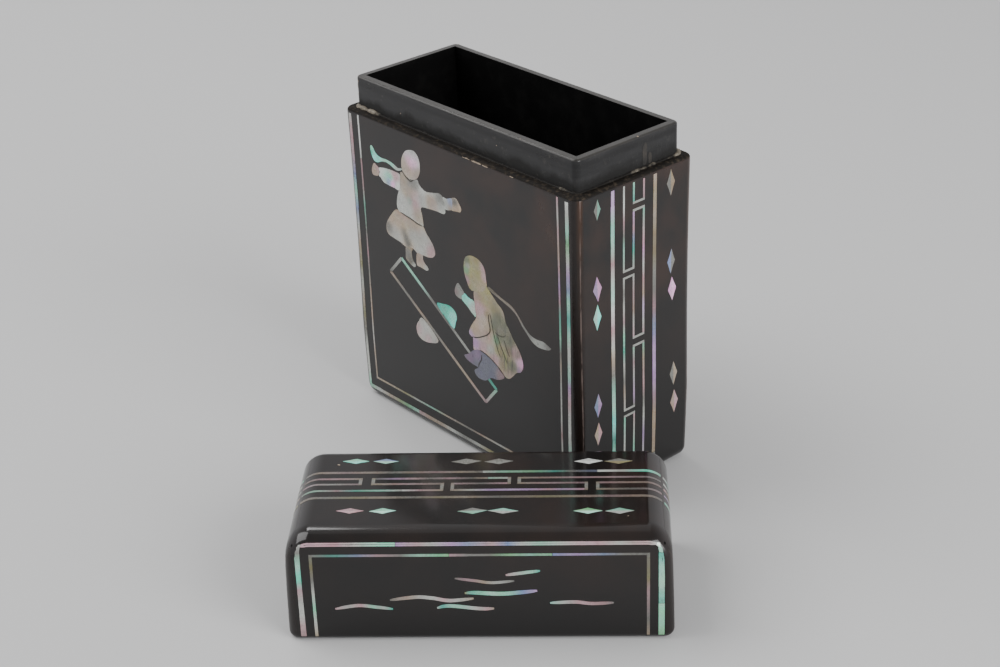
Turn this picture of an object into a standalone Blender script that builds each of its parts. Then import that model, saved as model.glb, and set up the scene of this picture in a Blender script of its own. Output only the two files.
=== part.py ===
# A lacquered papier-mache box with a lift-off lid, standing open.
# The lid is set down on its rim in front of the box, turned against it.
# Metres, +Z up. The origin is the centre of the box's underside, and the picture face looks along -Y.
import math

import bmesh
import bpy
from mathutils import Matrix, Vector

# Outside of the closed box, at the seam where the lid meets the body
BOX_WIDTH = 0.0800
BOX_DEPTH = 0.0360
BODY_HEIGHT = 0.0775
LID_HEIGHT = 0.0247

# From the seam the walls draw in towards the closed ends, and swell a little in between, on each side
FOOT_INSET = 0.00033
BODY_SWELL = 0.00032
CROWN_INSET = 0.00073
LID_SWELL = 0.00010

# Rounded outside: the picture outline's corners, the long edges, and the open ends' lips
FOOT_CORNER_RADIUS = 0.0028
CROWN_CORNER_RADIUS = 0.0050
EDGE_RADIUS = 0.0022
LIP_RADIUS = 0.0016

# Papier-mache walls
SHELL_WALL = 0.0020
FLOOR_THICKNESS = 0.0024
CROWN_THICKNESS = 0.0024

# The liner is a sleeve glued inside the body. Its top stands out of the shoulder as the neck
NECK_HEIGHT = 0.0076
LINER_WALL = 0.0019
LINER_CORNER_RADIUS = 0.0015
LINER_RIM_RADIUS = 0.0006
GLUE_GAP = 0.0003
LID_CLEARANCE = 0.0003
NECK_HEADROOM = 0.0008

# How the lid stands: turned against the body, with the body's near corner this far behind its back wall
# and this far along from its middle
LID_TURN_DEG = 46.2
LID_STAND_OFF = 0.0116
LID_SLIDE = 0.0207

# Smoothness of the rounded forms
CORNER_SEGMENTS = 8
EDGE_SEGMENTS = 5
LIP_SEGMENTS = 4
SWELL_STEPS = 8
SMOOTH_ANGLE_DEG = 30.0

# A cutter runs on past the open end, and two heights this close are one level
CUTTER_OVERRUN = 0.0050
LEVEL_TOLERANCE = 1e-6

LACQUER = {"colour": (0.022, 0.018, 0.017, 1.0), "roughness": 0.28, "metallic": 0.0}
WORN_LACQUER = {"colour": (0.045, 0.045, 0.048, 1.0), "roughness": 0.45, "metallic": 0.0}


def clear_scene():
    for obj in list(bpy.data.objects):
        bpy.data.objects.remove(obj, do_unlink=True)


def collection_named(name):
    made = bpy.data.collections.new(name)
    bpy.context.scene.collection.children.link(made)
    return made


def material_named(name, look):
    material = bpy.data.materials.new(name)
    material.use_nodes = True
    shader = material.node_tree.nodes["Principled BSDF"]
    shader.inputs["Base Color"].default_value = look["colour"]
    shader.inputs["Roughness"].default_value = look["roughness"]
    shader.inputs["Metallic"].default_value = look["metallic"]
    return material


def box_mesh(width, depth, bottom, top):
    # A closed box centred on the Z axis, from one height to another
    shape = bmesh.new()
    bmesh.ops.create_cube(shape, size=1.0)
    size = (width, depth, top - bottom)
    bmesh.ops.scale(shape, vec=size, verts=shape.verts)
    bmesh.ops.translate(shape, vec=(0.0, 0.0, (top + bottom) / 2), verts=shape.verts)
    return shape


def at_level(edge, axis, value):
    return all(abs(v.co[axis] - value) < LEVEL_TOLERANCE for v in edge.verts)


def runs_along(edge, axis):
    first, second = edge.verts
    across = [abs(first.co[i] - second.co[i]) for i in range(3) if i != axis]
    return max(across) < LEVEL_TOLERANCE


def is_upright(edge):
    first, second = edge.verts
    return abs(first.co.z - second.co.z) > max(
        abs(first.co.x - second.co.x), abs(first.co.y - second.co.y)
    )


def round_edges(shape, edges, radius, segments):
    bmesh.ops.bevel(
        shape,
        geom=edges,
        offset=radius,
        segments=segments,
        profile=0.5,
        affect="EDGES",
        clamp_overlap=True,
    )


def cut_level(shape, height):
    # A ring of edges around the shape at this height, so that its walls can bend there
    bmesh.ops.bisect_plane(
        shape,
        geom=[*shape.verts, *shape.edges, *shape.faces],
        plane_co=(0.0, 0.0, height),
        plane_no=(0.0, 0.0, 1.0),
    )


def shape_walls(shape, start, inset, swell=0.0):
    # Moves the walls in by the whole inset at z = 0 and by nothing at z = start and above,
    # and out by the swell halfway between
    for vert in shape.verts:
        share = min(1.0, max(0.0, (start - vert.co.z) / start))
        move = inset * share - swell * 4 * share * (1 - share)
        for axis in (0, 1):
            vert.co[axis] -= math.copysign(move, vert.co[axis])


def tub_form(height, corner_radius, inset, swell):
    # The outside of one half of the box: closed at z = 0 and open at z = height
    shape = box_mesh(BOX_WIDTH, BOX_DEPTH, 0.0, height)
    ends = [e for e in shape.edges if at_level(e, 2, 0.0) and runs_along(e, 1)]
    round_edges(shape, ends, corner_radius, CORNER_SEGMENTS)
    outline = [
        e
        for e in shape.edges
        if (at_level(e, 1, BOX_DEPTH / 2) or at_level(e, 1, -BOX_DEPTH / 2))
        and not at_level(e, 2, height)
    ]
    round_edges(shape, outline, EDGE_RADIUS, EDGE_SEGMENTS)
    lip = [e for e in shape.edges if at_level(e, 2, height)]
    round_edges(shape, lip, LIP_RADIUS, LIP_SEGMENTS)
    wall_height = height - corner_radius - LIP_RADIUS
    for step in range(1, SWELL_STEPS):
        cut_level(shape, corner_radius + wall_height * step / SWELL_STEPS)
    shape_walls(shape, height, inset, swell)
    return shape


def sleeve_form(width, depth, corner_radius, bottom, top):
    # An upright prism with rounded corners: the outside of the liner, and the spaces it fits in
    shape = box_mesh(width, depth, bottom, top)
    uprights = [e for e in shape.edges if is_upright(e)]
    round_edges(shape, uprights, corner_radius, LIP_SEGMENTS)
    return shape


def object_from(shape, name, material, collection):
    bmesh.ops.recalc_face_normals(shape, faces=shape.faces)
    mesh = bpy.data.meshes.new(name)
    shape.to_mesh(mesh)
    shape.free()
    mesh.shade_smooth()
    mesh.set_sharp_from_angle(angle=math.radians(SMOOTH_ANGLE_DEG))
    obj = bpy.data.objects.new(name, mesh)
    if material is not None:
        mesh.materials.append(material)
    collection.objects.link(obj)
    return obj


def hide_cutter(cutter):
    cutter.hide_render = True
    cutter.display_type = "WIRE"


def cut(target, cutter):
    hide_cutter(cutter)
    boolean = target.modifiers.new("hollow", "BOOLEAN")
    boolean.operation = "DIFFERENCE"
    boolean.solver = "EXACT"
    boolean.object = cutter


def liner_width():
    return BOX_WIDTH - 2 * (SHELL_WALL + GLUE_GAP)


def liner_depth():
    return BOX_DEPTH - 2 * (SHELL_WALL + GLUE_GAP)


def neck_top():
    return BODY_HEIGHT + NECK_HEIGHT


def make_body(parts, cutters, lacquer):
    tub = tub_form(BODY_HEIGHT, FOOT_CORNER_RADIUS, FOOT_INSET, BODY_SWELL)
    body = object_from(tub, "body_shell", lacquer, parts)
    room = sleeve_form(
        liner_width() + 2 * GLUE_GAP,
        liner_depth() + 2 * GLUE_GAP,
        LINER_CORNER_RADIUS + GLUE_GAP,
        FLOOR_THICKNESS,
        BODY_HEIGHT + CUTTER_OVERRUN,
    )
    cut(body, object_from(room, "body_hollow", None, cutters))
    return body


def make_liner(parts, cutters, lacquer):
    width, depth = liner_width(), liner_depth()
    bottom, top = FLOOR_THICKNESS + GLUE_GAP, neck_top()
    sleeve = sleeve_form(width, depth, LINER_CORNER_RADIUS, bottom, top)
    rim = [e for e in sleeve.edges if at_level(e, 2, top)]
    round_edges(sleeve, rim, LINER_RIM_RADIUS, LIP_SEGMENTS)
    liner = object_from(sleeve, "neck_liner", lacquer, parts)
    bore = box_mesh(
        width - 2 * LINER_WALL,
        depth - 2 * LINER_WALL,
        bottom - CUTTER_OVERRUN,
        top + CUTTER_OVERRUN,
    )
    cut(liner, object_from(bore, "liner_hollow", None, cutters))
    return liner


def make_lid(parts, cutters, lacquer):
    # Built crown down like the body, then turned over to stand on its rim
    tub = tub_form(LID_HEIGHT, CROWN_CORNER_RADIUS, CROWN_INSET, LID_SWELL)
    lid = object_from(tub, "lid", lacquer, parts)
    neck_reach = LID_HEIGHT - NECK_HEIGHT - NECK_HEADROOM
    socket = sleeve_form(
        liner_width() + 2 * LID_CLEARANCE,
        liner_depth() + 2 * LID_CLEARANCE,
        LINER_CORNER_RADIUS + LID_CLEARANCE,
        CROWN_THICKNESS,
        LID_HEIGHT + CUTTER_OVERRUN,
    )
    cut_level(socket, neck_reach)
    shape_walls(socket, neck_reach, CROWN_INSET)
    hollow = object_from(socket, "lid_hollow", None, cutters)
    cut(lid, hollow)

    turn = Matrix.Rotation(math.radians(LID_TURN_DEG), 4, "Z")
    near_corner = Vector((BOX_WIDTH / 2, -BOX_DEPTH / 2, 0.0))
    corner_from_lid = turn @ Vector((LID_SLIDE, BOX_DEPTH / 2 + LID_STAND_OFF, 0.0))
    place = near_corner - corner_from_lid + Vector((0.0, 0.0, LID_HEIGHT))
    stand = bpy.data.objects.new("lid_stand", None)
    parts.objects.link(stand)
    stand.matrix_world = Matrix.Translation(place) @ turn @ Matrix.Rotation(math.pi, 4, "X")
    lid.parent = stand
    hollow.parent = stand
    return lid


def main():
    clear_scene()
    parts = collection_named("papier_mache_box")
    cutters = collection_named("cutters")
    lacquer = material_named("black_lacquer", LACQUER)
    worn = material_named("worn_lacquer", WORN_LACQUER)
    make_body(parts, cutters, lacquer)
    make_liner(parts, cutters, worn)
    make_lid(parts, cutters, lacquer)


main()
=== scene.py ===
from functools import partial
import math
import random

import bmesh
import bpy
from mathutils import Matrix, Vector
from mathutils.geometry import delaunay_2d_cdt


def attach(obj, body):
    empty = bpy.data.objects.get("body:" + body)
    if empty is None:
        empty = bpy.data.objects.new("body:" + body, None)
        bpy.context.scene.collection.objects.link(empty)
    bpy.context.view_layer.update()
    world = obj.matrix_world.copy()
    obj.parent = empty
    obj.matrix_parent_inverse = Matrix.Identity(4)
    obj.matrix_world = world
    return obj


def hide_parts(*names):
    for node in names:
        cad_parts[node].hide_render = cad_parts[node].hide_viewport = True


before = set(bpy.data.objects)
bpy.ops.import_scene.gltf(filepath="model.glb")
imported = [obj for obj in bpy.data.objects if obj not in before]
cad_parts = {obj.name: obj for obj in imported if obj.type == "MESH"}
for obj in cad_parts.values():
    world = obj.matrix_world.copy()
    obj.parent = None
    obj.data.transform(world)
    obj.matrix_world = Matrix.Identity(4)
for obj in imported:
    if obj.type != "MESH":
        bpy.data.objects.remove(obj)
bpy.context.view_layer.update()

mm = 0.001


# small helpers for node trees. A helper finds its tree by the sockets that it is given

def pickSocket(sockets, name):
    if isinstance(name, int):
        return sockets[name]
    return next(s for s in sockets if s.name == name and s.enabled)


def join(value, socket):
    # a socket is linked, and a plain value is set
    if isinstance(value, bpy.types.NodeSocket):
        value.id_data.links.new(value, socket)
    else:
        socket.default_value = value


def addNode(tree, kind, inputs=None, **settings):
    node = tree.nodes.new(kind)
    for name, value in settings.items():
        setattr(node, name, value)
    for name, value in (inputs or {}).items():
        join(value, pickSocket(node.inputs, name))
    return node.outputs


def newGroup(name, kind, inputs, outputs):
    tree = bpy.data.node_groups.new(name, kind)
    for label, socketKind, default in inputs:
        made = tree.interface.new_socket(label, in_out="INPUT", socket_type="NodeSocket" + socketKind)
        if default is not None:
            made.default_value = default
    for label, socketKind in outputs:
        tree.interface.new_socket(label, in_out="OUTPUT", socket_type="NodeSocket" + socketKind)
    return tree, tree.nodes.new("NodeGroupInput").outputs, tree.nodes.new("NodeGroupOutput").inputs


def treeOf(*values):
    return next(v.id_data for v in values if isinstance(v, bpy.types.NodeSocket))


def plainMath(operation, first, second=0.0):
    return addNode(treeOf(first, second), "ShaderNodeMath", {0: first, 1: second}, operation=operation)[0]


plus, minus, times, over, power = (partial(plainMath, operation) for operation in (
    "ADD", "SUBTRACT", "MULTIPLY", "DIVIDE", "POWER"))
magnitude = partial(plainMath, "ABSOLUTE")


def vectorMath(operation, first, second=(0.0, 0.0, 0.0)):
    place = "Scale" if operation == "SCALE" else 1
    return addNode(treeOf(first), "ShaderNodeVectorMath", {0: first, place: second}, operation=operation)[0]


def split(vector):
    return addNode(treeOf(vector), "ShaderNodeSeparateXYZ", {0: vector})


def combine(tree, x, y, z):
    return addNode(tree, "ShaderNodeCombineXYZ", {0: x, 1: y, 2: z})[0]


def stretch(vector, scale, turn=(0.0, 0.0, 0.0)):
    return addNode(treeOf(vector), "ShaderNodeMapping", {"Vector": vector, "Rotation": turn, "Scale": scale})[0]


def remap(value, low, high, toLow=0.0, toHigh=1.0):
    return addNode(treeOf(value), "ShaderNodeMapRange", {"Value": value, "From Min": low, "From Max": high,
                                                         "To Min": toLow, "To Max": toHigh}, clamp=True)["Result"]


def noise(vector, scale, detail=2.0, roughness=0.5, output="Fac"):
    return addNode(treeOf(vector), "ShaderNodeTexNoise", {"Vector": vector, "Scale": scale, "Detail": detail,
                                                          "Roughness": roughness})[output]


def mixColour(share, first, second):
    return addNode(treeOf(share), "ShaderNodeMix", {0: share, 6: first, 7: second}, data_type="RGBA")[2]


# shared shader groups. A noise is given as its scale, detail and roughness, and a range as from, to

edgeWear = {"rubNoise": (260.0, 4.0, 0.6), "rubRange": (-1.05, -0.6), "sideFrom": -0.9 * mm,
            "drawnOut": (1.0, 1.0, 0.25), "lineFade": (1.0, 0.4), "lineNoise": (520.0, 4.0, 0.7),
            "lineRange": (0.42, 0.62, 0.0, 0.8), "stainFade": (5.0, 0.5), "stainNoise": (190.0, 4.0, 0.65),
            "stainRange": (0.40, 0.62)}


def makeEdgeRub():
    # where a box is rubbed, in its own axes with z = 0 at the middle of its height: all over its rounded edges,
    # and in a thin worn line with a stain beside it where the rounded uprights turn into the narrow sides
    s = edgeWear
    tree, inp, out = newGroup("edgeRub", "ShaderNodeTree",
                              [("Vector", "Vector", None), ("Half size", "Vector", (0.04, 0.018, 0.04)),
                               ("Rounding", "Float", 2.2 * mm), ("Line place", "Float", 1.3 * mm),
                               ("Line width", "Float", 0.17 * mm)],
                              [("Mask", "Float"), ("Line", "Float"), ("Stain", "Float")])
    x, y = split(vectorMath("SUBTRACT", vectorMath("ABSOLUTE", inp["Vector"]), inp["Half size"]))[:2]
    depth = over(plainMath("MINIMUM", x, y), inp["Rounding"])
    rub = plus(depth, minus(noise(inp["Vector"], *s["rubNoise"]), 0.5))
    join(remap(rub, *s["rubRange"]), out["Mask"])
    drawn = stretch(inp["Vector"], s["drawnOut"])
    offset = over(magnitude(plus(y, inp["Line place"])), inp["Line width"])
    onSide = plainMath("GREATER_THAN", x, s["sideFrom"])
    line = times(remap(offset, *s["lineFade"]), onSide)
    join(times(line, remap(noise(drawn, *s["lineNoise"]), *s["lineRange"])), out["Line"])
    stain = times(remap(offset, *s["stainFade"]), remap(noise(drawn, *s["stainNoise"]), *s["stainRange"]))
    join(times(stain, onSide), out["Stain"])
    return tree


brushwork = {"waveNoise": (90.0, 1.0), "skinNoise": (1400.0, 2.0), "hazeNoise": (55.0, 4.0),
             "hairTurn": (0.4, 0.7, 0.3), "hairStretch": (1.0, 12.0, 1.0), "hairNoise": (700.0, 2.0),
             "hairRange": (0.66, 0.72)}


def makeHandFinish():
    # brushed-on lacquer: long soft waves, a fine skin and hair-thin scratches
    s = brushwork
    tree, inp, out = newGroup("handFinish", "ShaderNodeTree",
                              [("Vector", "Vector", None), ("Wave", "Float", 0.5), ("Skin", "Float", 0.2),
                               ("Scratch", "Float", 0.1)],
                              [("Height", "Float"), ("Haze", "Float"), ("Scratches", "Float")])
    place = inp["Vector"]
    thin = remap(noise(stretch(place, s["hairStretch"], s["hairTurn"]), *s["hairNoise"]), *s["hairRange"])
    total = plus(times(noise(place, *s["waveNoise"]), inp["Wave"]),
                 times(noise(place, *s["skinNoise"]), inp["Skin"]))
    join(minus(total, times(thin, inp["Scratch"])), out["Height"])
    join(noise(place, *s["hazeNoise"]), out["Haze"])
    join(thin, out["Scratches"])
    return tree


nacreTones = {"silver": (0.58, 0.6, 0.56), "white": (0.8, 0.82, 0.79), "beige": (0.53, 0.43, 0.34),
              "tan": (0.34, 0.27, 0.19), "rose": (0.62, 0.41, 0.44), "pink": (1.0, 0.58, 0.86),
              "lilac": (0.58, 0.4, 0.66), "blue": (0.34, 0.42, 0.64), "slate": (0.15, 0.155, 0.2),
              "teal": (0.14, 0.58, 0.47), "aqua": (0.34, 1.0, 0.84), "glow": (0.62, 1.0, 0.85),
              "mint": (0.4, 0.78, 0.61), "green": (0.32, 0.66, 0.38), "olive": (0.36, 0.33, 0.18),
              "moss": (0.18, 0.2, 0.13), "grey": (0.25, 0.25, 0.23)}
nacreDark = Vector((0.040, 0.038, 0.035))
shellGrain = {"slowPlace": (0.31, 0.17, 0.05), "slowNoise": (170.0, 2.0), "quickNoise": (640.0, 3.0, 0.6),
              "quickShare": 0.6, "lean": (0.0, -0.31, 0.0), "drawnOut": (1.0, 1.0, 0.10),
              "bandNoise": (600.0, 2.0), "bandShare": 0.7, "strengthNoise": (330.0, 2.0),
              "strength": (0.3, 0.7, 0.85, 1.35), "hairNoise": (1700.0, 3.0, 0.6),
              "hairRange": (0.46, 0.66, 0.0, 1.8), "cloudNoise": (420.0, 4.0, 0.65),
              "cloudRange": (0.38, 0.78), "fleckNoise": (1250.0, 3.0, 0.7), "fleckRange": (0.54, 0.74)}


def makeNacreColour():
    # a leaf of shell: its own tint, its hue drifting with the growth of the shell, with duller clouds in it
    s = shellGrain
    tree, inp, out = newGroup("nacreColour", "ShaderNodeTree",
                              [("Vector", "Vector", None), ("Tint", "Color", (0.5, 0.5, 0.5, 1.0)),
                               ("Streaks", "Float", 0.0), ("Drift", "Float", 0.1), ("Clouding", "Float", 0.3)],
                              [("Colour", "Color"), ("Height", "Float"), ("Dull", "Float")])
    place = inp["Vector"]
    slow = noise(vectorMath("ADD", place, s["slowPlace"]), *s["slowNoise"])
    quick = noise(place, *s["quickNoise"])
    drift = plus(minus(slow, 0.5), times(minus(quick, 0.5), s["quickShare"]))
    leant = stretch(place, s["drawnOut"], s["lean"])
    band = times(minus(noise(leant, *s["bandNoise"]), 0.5), inp["Streaks"])
    hue = plus(plus(times(drift, inp["Drift"]), 0.5), times(band, s["bandShare"]))
    strength = remap(noise(place, *s["strengthNoise"]), *s["strength"])
    turned = addNode(tree, "ShaderNodeHueSaturation", {"Hue": hue, "Saturation": strength,
                                                       "Color": inp["Tint"]})[0]
    hair = times(remap(noise(leant, *s["hairNoise"]), *s["hairRange"]), inp["Streaks"])
    cloud = times(remap(noise(place, *s["cloudNoise"]), *s["cloudRange"]), inp["Clouding"])
    fleck = times(remap(noise(place, *s["fleckNoise"]), *s["fleckRange"]), inp["Clouding"])
    shade = addNode(tree, "ShaderNodeClamp", {"Value": plus(plus(cloud, fleck), hair)})[0]
    join(mixColour(shade, turned, (*nacreDark, 1.0)), out["Colour"])
    join(quick, out["Height"])
    join(shade, out["Dull"])
    return tree


edgeRub = makeEdgeRub()
handFinish = makeHandFinish()
nacreColour = makeNacreColour()
print("shader groups made")


# materials

def newMaterial(name, values):
    material = bpy.data.materials.new(name)
    material.use_nodes = True
    tree = material.node_tree
    shader = tree.nodes["Principled BSDF"]
    for socket, value in values.items():
        shader.inputs[socket].default_value = value
    return material, tree, shader.inputs, addNode(tree, "ShaderNodeTexCoord")["Object"]


def addGroup(tree, group, inputs):
    return addNode(tree, "ShaderNodeGroup", inputs, node_tree=group)


def dress(shader, colour, roughness, height, distance):
    join(colour, shader["Base Color"])
    join(roughness, shader["Roughness"])
    bump = addNode(treeOf(height), "ShaderNodeBump", {"Strength": 1.0, "Distance": distance, "Height": height})
    join(bump["Normal"], shader["Normal"])


lacquer = {"deep": (0.0085, 0.0076, 0.0074, 1.0), "brown": (0.036, 0.0185, 0.0135, 1.0),
           "edge": (0.0085, 0.0048, 0.0036, 1.0), "rubbed": (0.17, 0.125, 0.11, 1.0),
           "stain": (0.060, 0.026, 0.011, 1.0), "skin": {"Wave": 1.0, "Skin": 0.012, "Scratch": 0.01},
           "patchNoise": (60.0, 4.0, 0.6), "patchRange": (0.38, 0.66), "brownAlong": (-0.035, 0.030, 0.2),
           "edgeShare": 0.8, "stainUp": (0.010, 0.026, 0.10, 0.9), "roughness": (0.3, 0.7, 0.09, 0.17),
           "lineRoughness": 0.2, "edgeRoughness": 0.20, "waveHeight": 0.008 * mm}


def makeLacquer(name, centre, turn, halfSize, brownUp, brownShare, lineShare):
    # brown-black, browner in patches higher up, with rubbed edges
    s = lacquer
    material, tree, shader, place = newMaterial(name, {"IOR": 1.46})
    own = addNode(tree, "ShaderNodeMapping", {"Vector": place, "Location": centre, "Rotation": (0.0, 0.0, turn)},
                  vector_type="TEXTURE")[0]
    rub = addGroup(tree, edgeRub, {"Vector": own, "Half size": halfSize})
    skin = addGroup(tree, handFinish, {"Vector": own, **s["skin"]})
    x, _, z = split(own)
    warm = times(remap(z, *brownUp), remap(noise(own, *s["patchNoise"]), *s["patchRange"]))
    warm = times(warm, remap(x, *s["brownAlong"], brownShare))
    colour = mixColour(warm, s["deep"], s["brown"])
    colour = mixColour(times(rub["Mask"], s["edgeShare"]), colour, s["edge"])
    stain = times(rub["Stain"], remap(z, *s["stainUp"]))
    colour = mixColour(times(stain, lineShare), colour, s["stain"])
    colour = mixColour(times(rub["Line"], lineShare), colour, s["rubbed"])
    rough = plus(remap(skin["Haze"], *s["roughness"]), times(rub["Line"], s["lineRoughness"]))
    rough = plus(rough, times(rub["Mask"], s["edgeRoughness"]))
    dress(shader, colour, rough, skin["Height"], s["waveHeight"])
    return material


# heights of the foot's dirt, the painted shade under the rim and the rim's paler top (partly wear, partly painted
# highlight) are measured down from the rim
neckFinish = {"dark": (0.006, 0.006, 0.0065, 1.0), "grey": (0.023, 0.0225, 0.0235, 1.0),
              "scuff": (0.15, 0.135, 0.11, 1.0), "rim": (0.034, 0.031, 0.027, 1.0),
              "dirt": (0.0055, 0.005, 0.0042, 1.0), "shade": (0.006, 0.0055, 0.006, 1.0),
              "mitre": (0.004, 0.004, 0.004, 1.0), "skin": {"Wave": 0.6, "Skin": 0.16, "Scratch": 0.12},
              "brushed": (0.3, 0.3, 1.6), "blotNoise": (330.0, 4.0, 0.6), "blotRange": (0.32, 0.68),
              "sagNoise": (140.0, 4.0, 0.6), "sag": 6 * mm, "dirtDown": (1.3 * mm, 3.1 * mm), "dirtShare": 0.8,
              "paintedShadeDown": 1.6 * mm, "paintedShadeSag": 0.1, "paintedShadeFade": (1.2 * mm, 0.5 * mm), "paintedShadeShare": 0.7,
              "wornNoise": (300.0, 5.0, 0.7), "wornRange": (0.60, 0.70), "wornShare": 0.12,
              "rimDown": (0.5 * mm, 0.1 * mm), "rimNoise": (520.0, 4.0, 0.7), "rimRange": (0.3, 0.6, 0.5, 1.0),
              "mitreWidth": 0.07 * mm, "scratchShare": 0.12, "roughness": (0.3, 0.7, 0.26, 0.44),
              "dirtRoughness": 0.3, "bump": 0.06 * mm}


def makeNeckLacquer(rimHeight, corner):
    # thin brushed-on lacquer, dirtier towards its foot, with a painted shade band just under the rim, and paler on
    # the rim, partly rubbed and partly a painted highlight; the rim is mitred
    s = neckFinish
    material, tree, shader, place = newMaterial("neckLacquer", {"IOR": 1.42})
    skin = addGroup(tree, handFinish, {"Vector": place, **s["skin"]})
    blot = noise(stretch(place, s["brushed"]), *s["blotNoise"])
    x, y, z = split(place)
    colour = mixColour(remap(blot, *s["blotRange"]), s["dark"], s["grey"])
    sag = times(noise(place, *s["sagNoise"]), s["sag"])
    dirt = remap(plus(z, sag), *(rimHeight - down for down in s["dirtDown"]))
    colour = mixColour(times(dirt, s["dirtShare"]), colour, s["dirt"])
    # painted shade: a dark band about 1.6 mm under the rim
    shade = plus(magnitude(minus(z, rimHeight - s["paintedShadeDown"])), times(sag, s["paintedShadeSag"]))
    colour = mixColour(times(remap(shade, *s["paintedShadeFade"]), s["paintedShadeShare"]), colour, s["shade"])
    worn = remap(noise(place, *s["wornNoise"]), *s["wornRange"])
    colour = mixColour(times(worn, s["wornShare"]), colour, s["scuff"])
    # the rim's top is paler: partly rubbed wear, partly a painted highlight
    onRim = remap(z, *(rimHeight - down for down in s["rimDown"]))
    rimWearAndHighlight = times(onRim, remap(noise(place, *s["rimNoise"]), *s["rimRange"]))
    colour = mixColour(rimWearAndHighlight, colour, s["rim"])
    across = minus(magnitude(x), magnitude(y))
    mitre = plainMath("LESS_THAN", magnitude(minus(across, corner)), s["mitreWidth"])
    colour = mixColour(times(mitre, onRim), colour, s["mitre"])
    colour = mixColour(times(skin["Scratches"], s["scratchShare"]), colour, s["scuff"])
    rough = plus(remap(blot, *s["roughness"]), times(dirt, s["dirtRoughness"]))
    dress(shader, colour, rough, skin["Height"], s["bump"])
    return material


glueFinish = {"thin": (0.0085, 0.0070, 0.0055, 1.0), "dull": (0.075, 0.062, 0.045, 1.0),
              "bright": (0.24, 0.21, 0.165, 1.0), "grain": (900.0, 5.0, 0.7), "paleRange": (0.30, 0.75),
              "grainRange": (0.35, 0.65), "roughness": (0.0, 1.0, 0.75, 0.5), "bump": 0.10 * mm}


def makeOldGlue():
    # brown-black where it is thin, yellowish grey where the glue is pale; at the shoulder's back right corner that
    # pale grey is a painted highlight
    s = glueFinish
    material, tree, shader, place = newMaterial("oldGlue", {"Specular IOR Level": 0.3})
    grain = noise(place, *s["grain"])
    paleGlueAndHighlight = addNode(tree, "ShaderNodeAttribute", attribute_name="paleGlueAndHighlight")["Fac"]
    share = remap(plus(minus(grain, 0.5), paleGlueAndHighlight), *s["paleRange"])
    bright = mixColour(remap(grain, *s["grainRange"]), s["dull"], s["bright"])
    dress(shader, mixColour(share, s["thin"], bright), remap(share, *s["roughness"]), grain, s["bump"])
    return material


nacreFinish = {"shader": {"IOR": 1.5, "Coat Weight": 0.25, "Coat Roughness": 0.1},
               "shell": {"Drift": 0.10, "Clouding": 0.30}, "roughness": (0.0, 0.8, 0.25, 0.5),
               "metallic": (0.0, 0.5, 0.30, 0.0), "bump": 0.008 * mm}


def makeNacre():
    s = nacreFinish
    material, tree, shader, place = newMaterial("motherOfPearl", s["shader"])
    tint = addNode(tree, "ShaderNodeAttribute", attribute_name="tint")["Color"]
    streaks = addNode(tree, "ShaderNodeAttribute", attribute_name="streaks")["Fac"]
    shell = addGroup(tree, nacreColour, {"Vector": place, "Tint": tint, "Streaks": streaks, **s["shell"]})
    join(remap(shell["Dull"], *s["metallic"]), shader["Metallic"])
    dress(shader, shell["Colour"], remap(shell["Dull"], *s["roughness"]), shell["Height"], s["bump"])
    return material


def makeSpeckled(name, dark, light, grain, speckles=(0.35, 0.65), roughness=(0.65, 0.8), bump=0.08 * mm,
                 specular=0.5):
    material, tree, shader, place = newMaterial(name, {"Specular IOR Level": specular})
    height = noise(place, *grain)
    dress(shader, mixColour(remap(height, *speckles), (*dark, 1.0), (*light, 1.0)),
          remap(height, 0.3, 0.7, *roughness), height, bump)
    return material


lidTurn = math.radians(46.2)
lidCentre = Vector((0.0470367, -0.0534279, 0.0))
lidPlace = Matrix.Translation(lidCentre) @ Matrix.Rotation(lidTurn, 4, "Z")

bodyLacquer = makeLacquer("bodyLacquer", (0.0, 0.0, 0.03875), 0.0, (0.0400, 0.0180, 0.03875), (-0.016, 0.030),
                          1.0, 0.9)
lidLacquer = makeLacquer("lidLacquer", (lidCentre.x, lidCentre.y, 0.01235), lidTurn, (0.0395, 0.0175, 0.01235),
                         (-0.012, 0.012), 0.35, 0.25)
neckLacquer = makeNeckLacquer(0.0851, 0.0220)
nacre = makeNacre()
oldGlue = makeOldGlue()
insideBlack = makeSpeckled("insideBlack", (0.0016, 0.0015, 0.0015), (0.0052, 0.0050, 0.0046), (240.0, 5.0, 0.65),
                           (0.5, 0.8), (0.55, 0.75), 0.05 * mm, 0.1)
# hardened dirt on the shoulder, brown-black with paler brown crumbs in it
seamGrime = makeSpeckled("seamGrime", (0.0105, 0.0088, 0.0075), (0.060, 0.047, 0.034), (800.0, 5.0, 0.7),
                         (0.50, 0.70), (0.6, 0.9), 0.12 * mm, 0.12)
cutLine = makeSpeckled("cutLine", (0.02, 0.018, 0.015), (0.05, 0.045, 0.035), (900.0, 5.0, 0.7))
bareGround = makeSpeckled("bareGround", (0.20, 0.15, 0.11), (0.42, 0.34, 0.26), (1500.0, 5.0, 0.7))
driedDrip = makeSpeckled("driedDrip", (0.012, 0.011, 0.010), (0.036, 0.030, 0.024), (400.0, 5.0, 0.7),
                         roughness=(0.45, 0.6))
print("materials made")


# the three shells

# two heights, or a face and a cutter, this close are one, in metres
levelGap, faceGap = 1e-6, 1e-5
roundSteps = {"corner": 14, "edge": 10, "lip": 8, "upright": 6}
shellCrease, inlayCrease = math.radians(32.0), math.radians(35.0)


def addObject(name, data):
    made = bpy.data.objects.new(name, data)
    bpy.context.scene.collection.objects.link(made)
    return made


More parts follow.
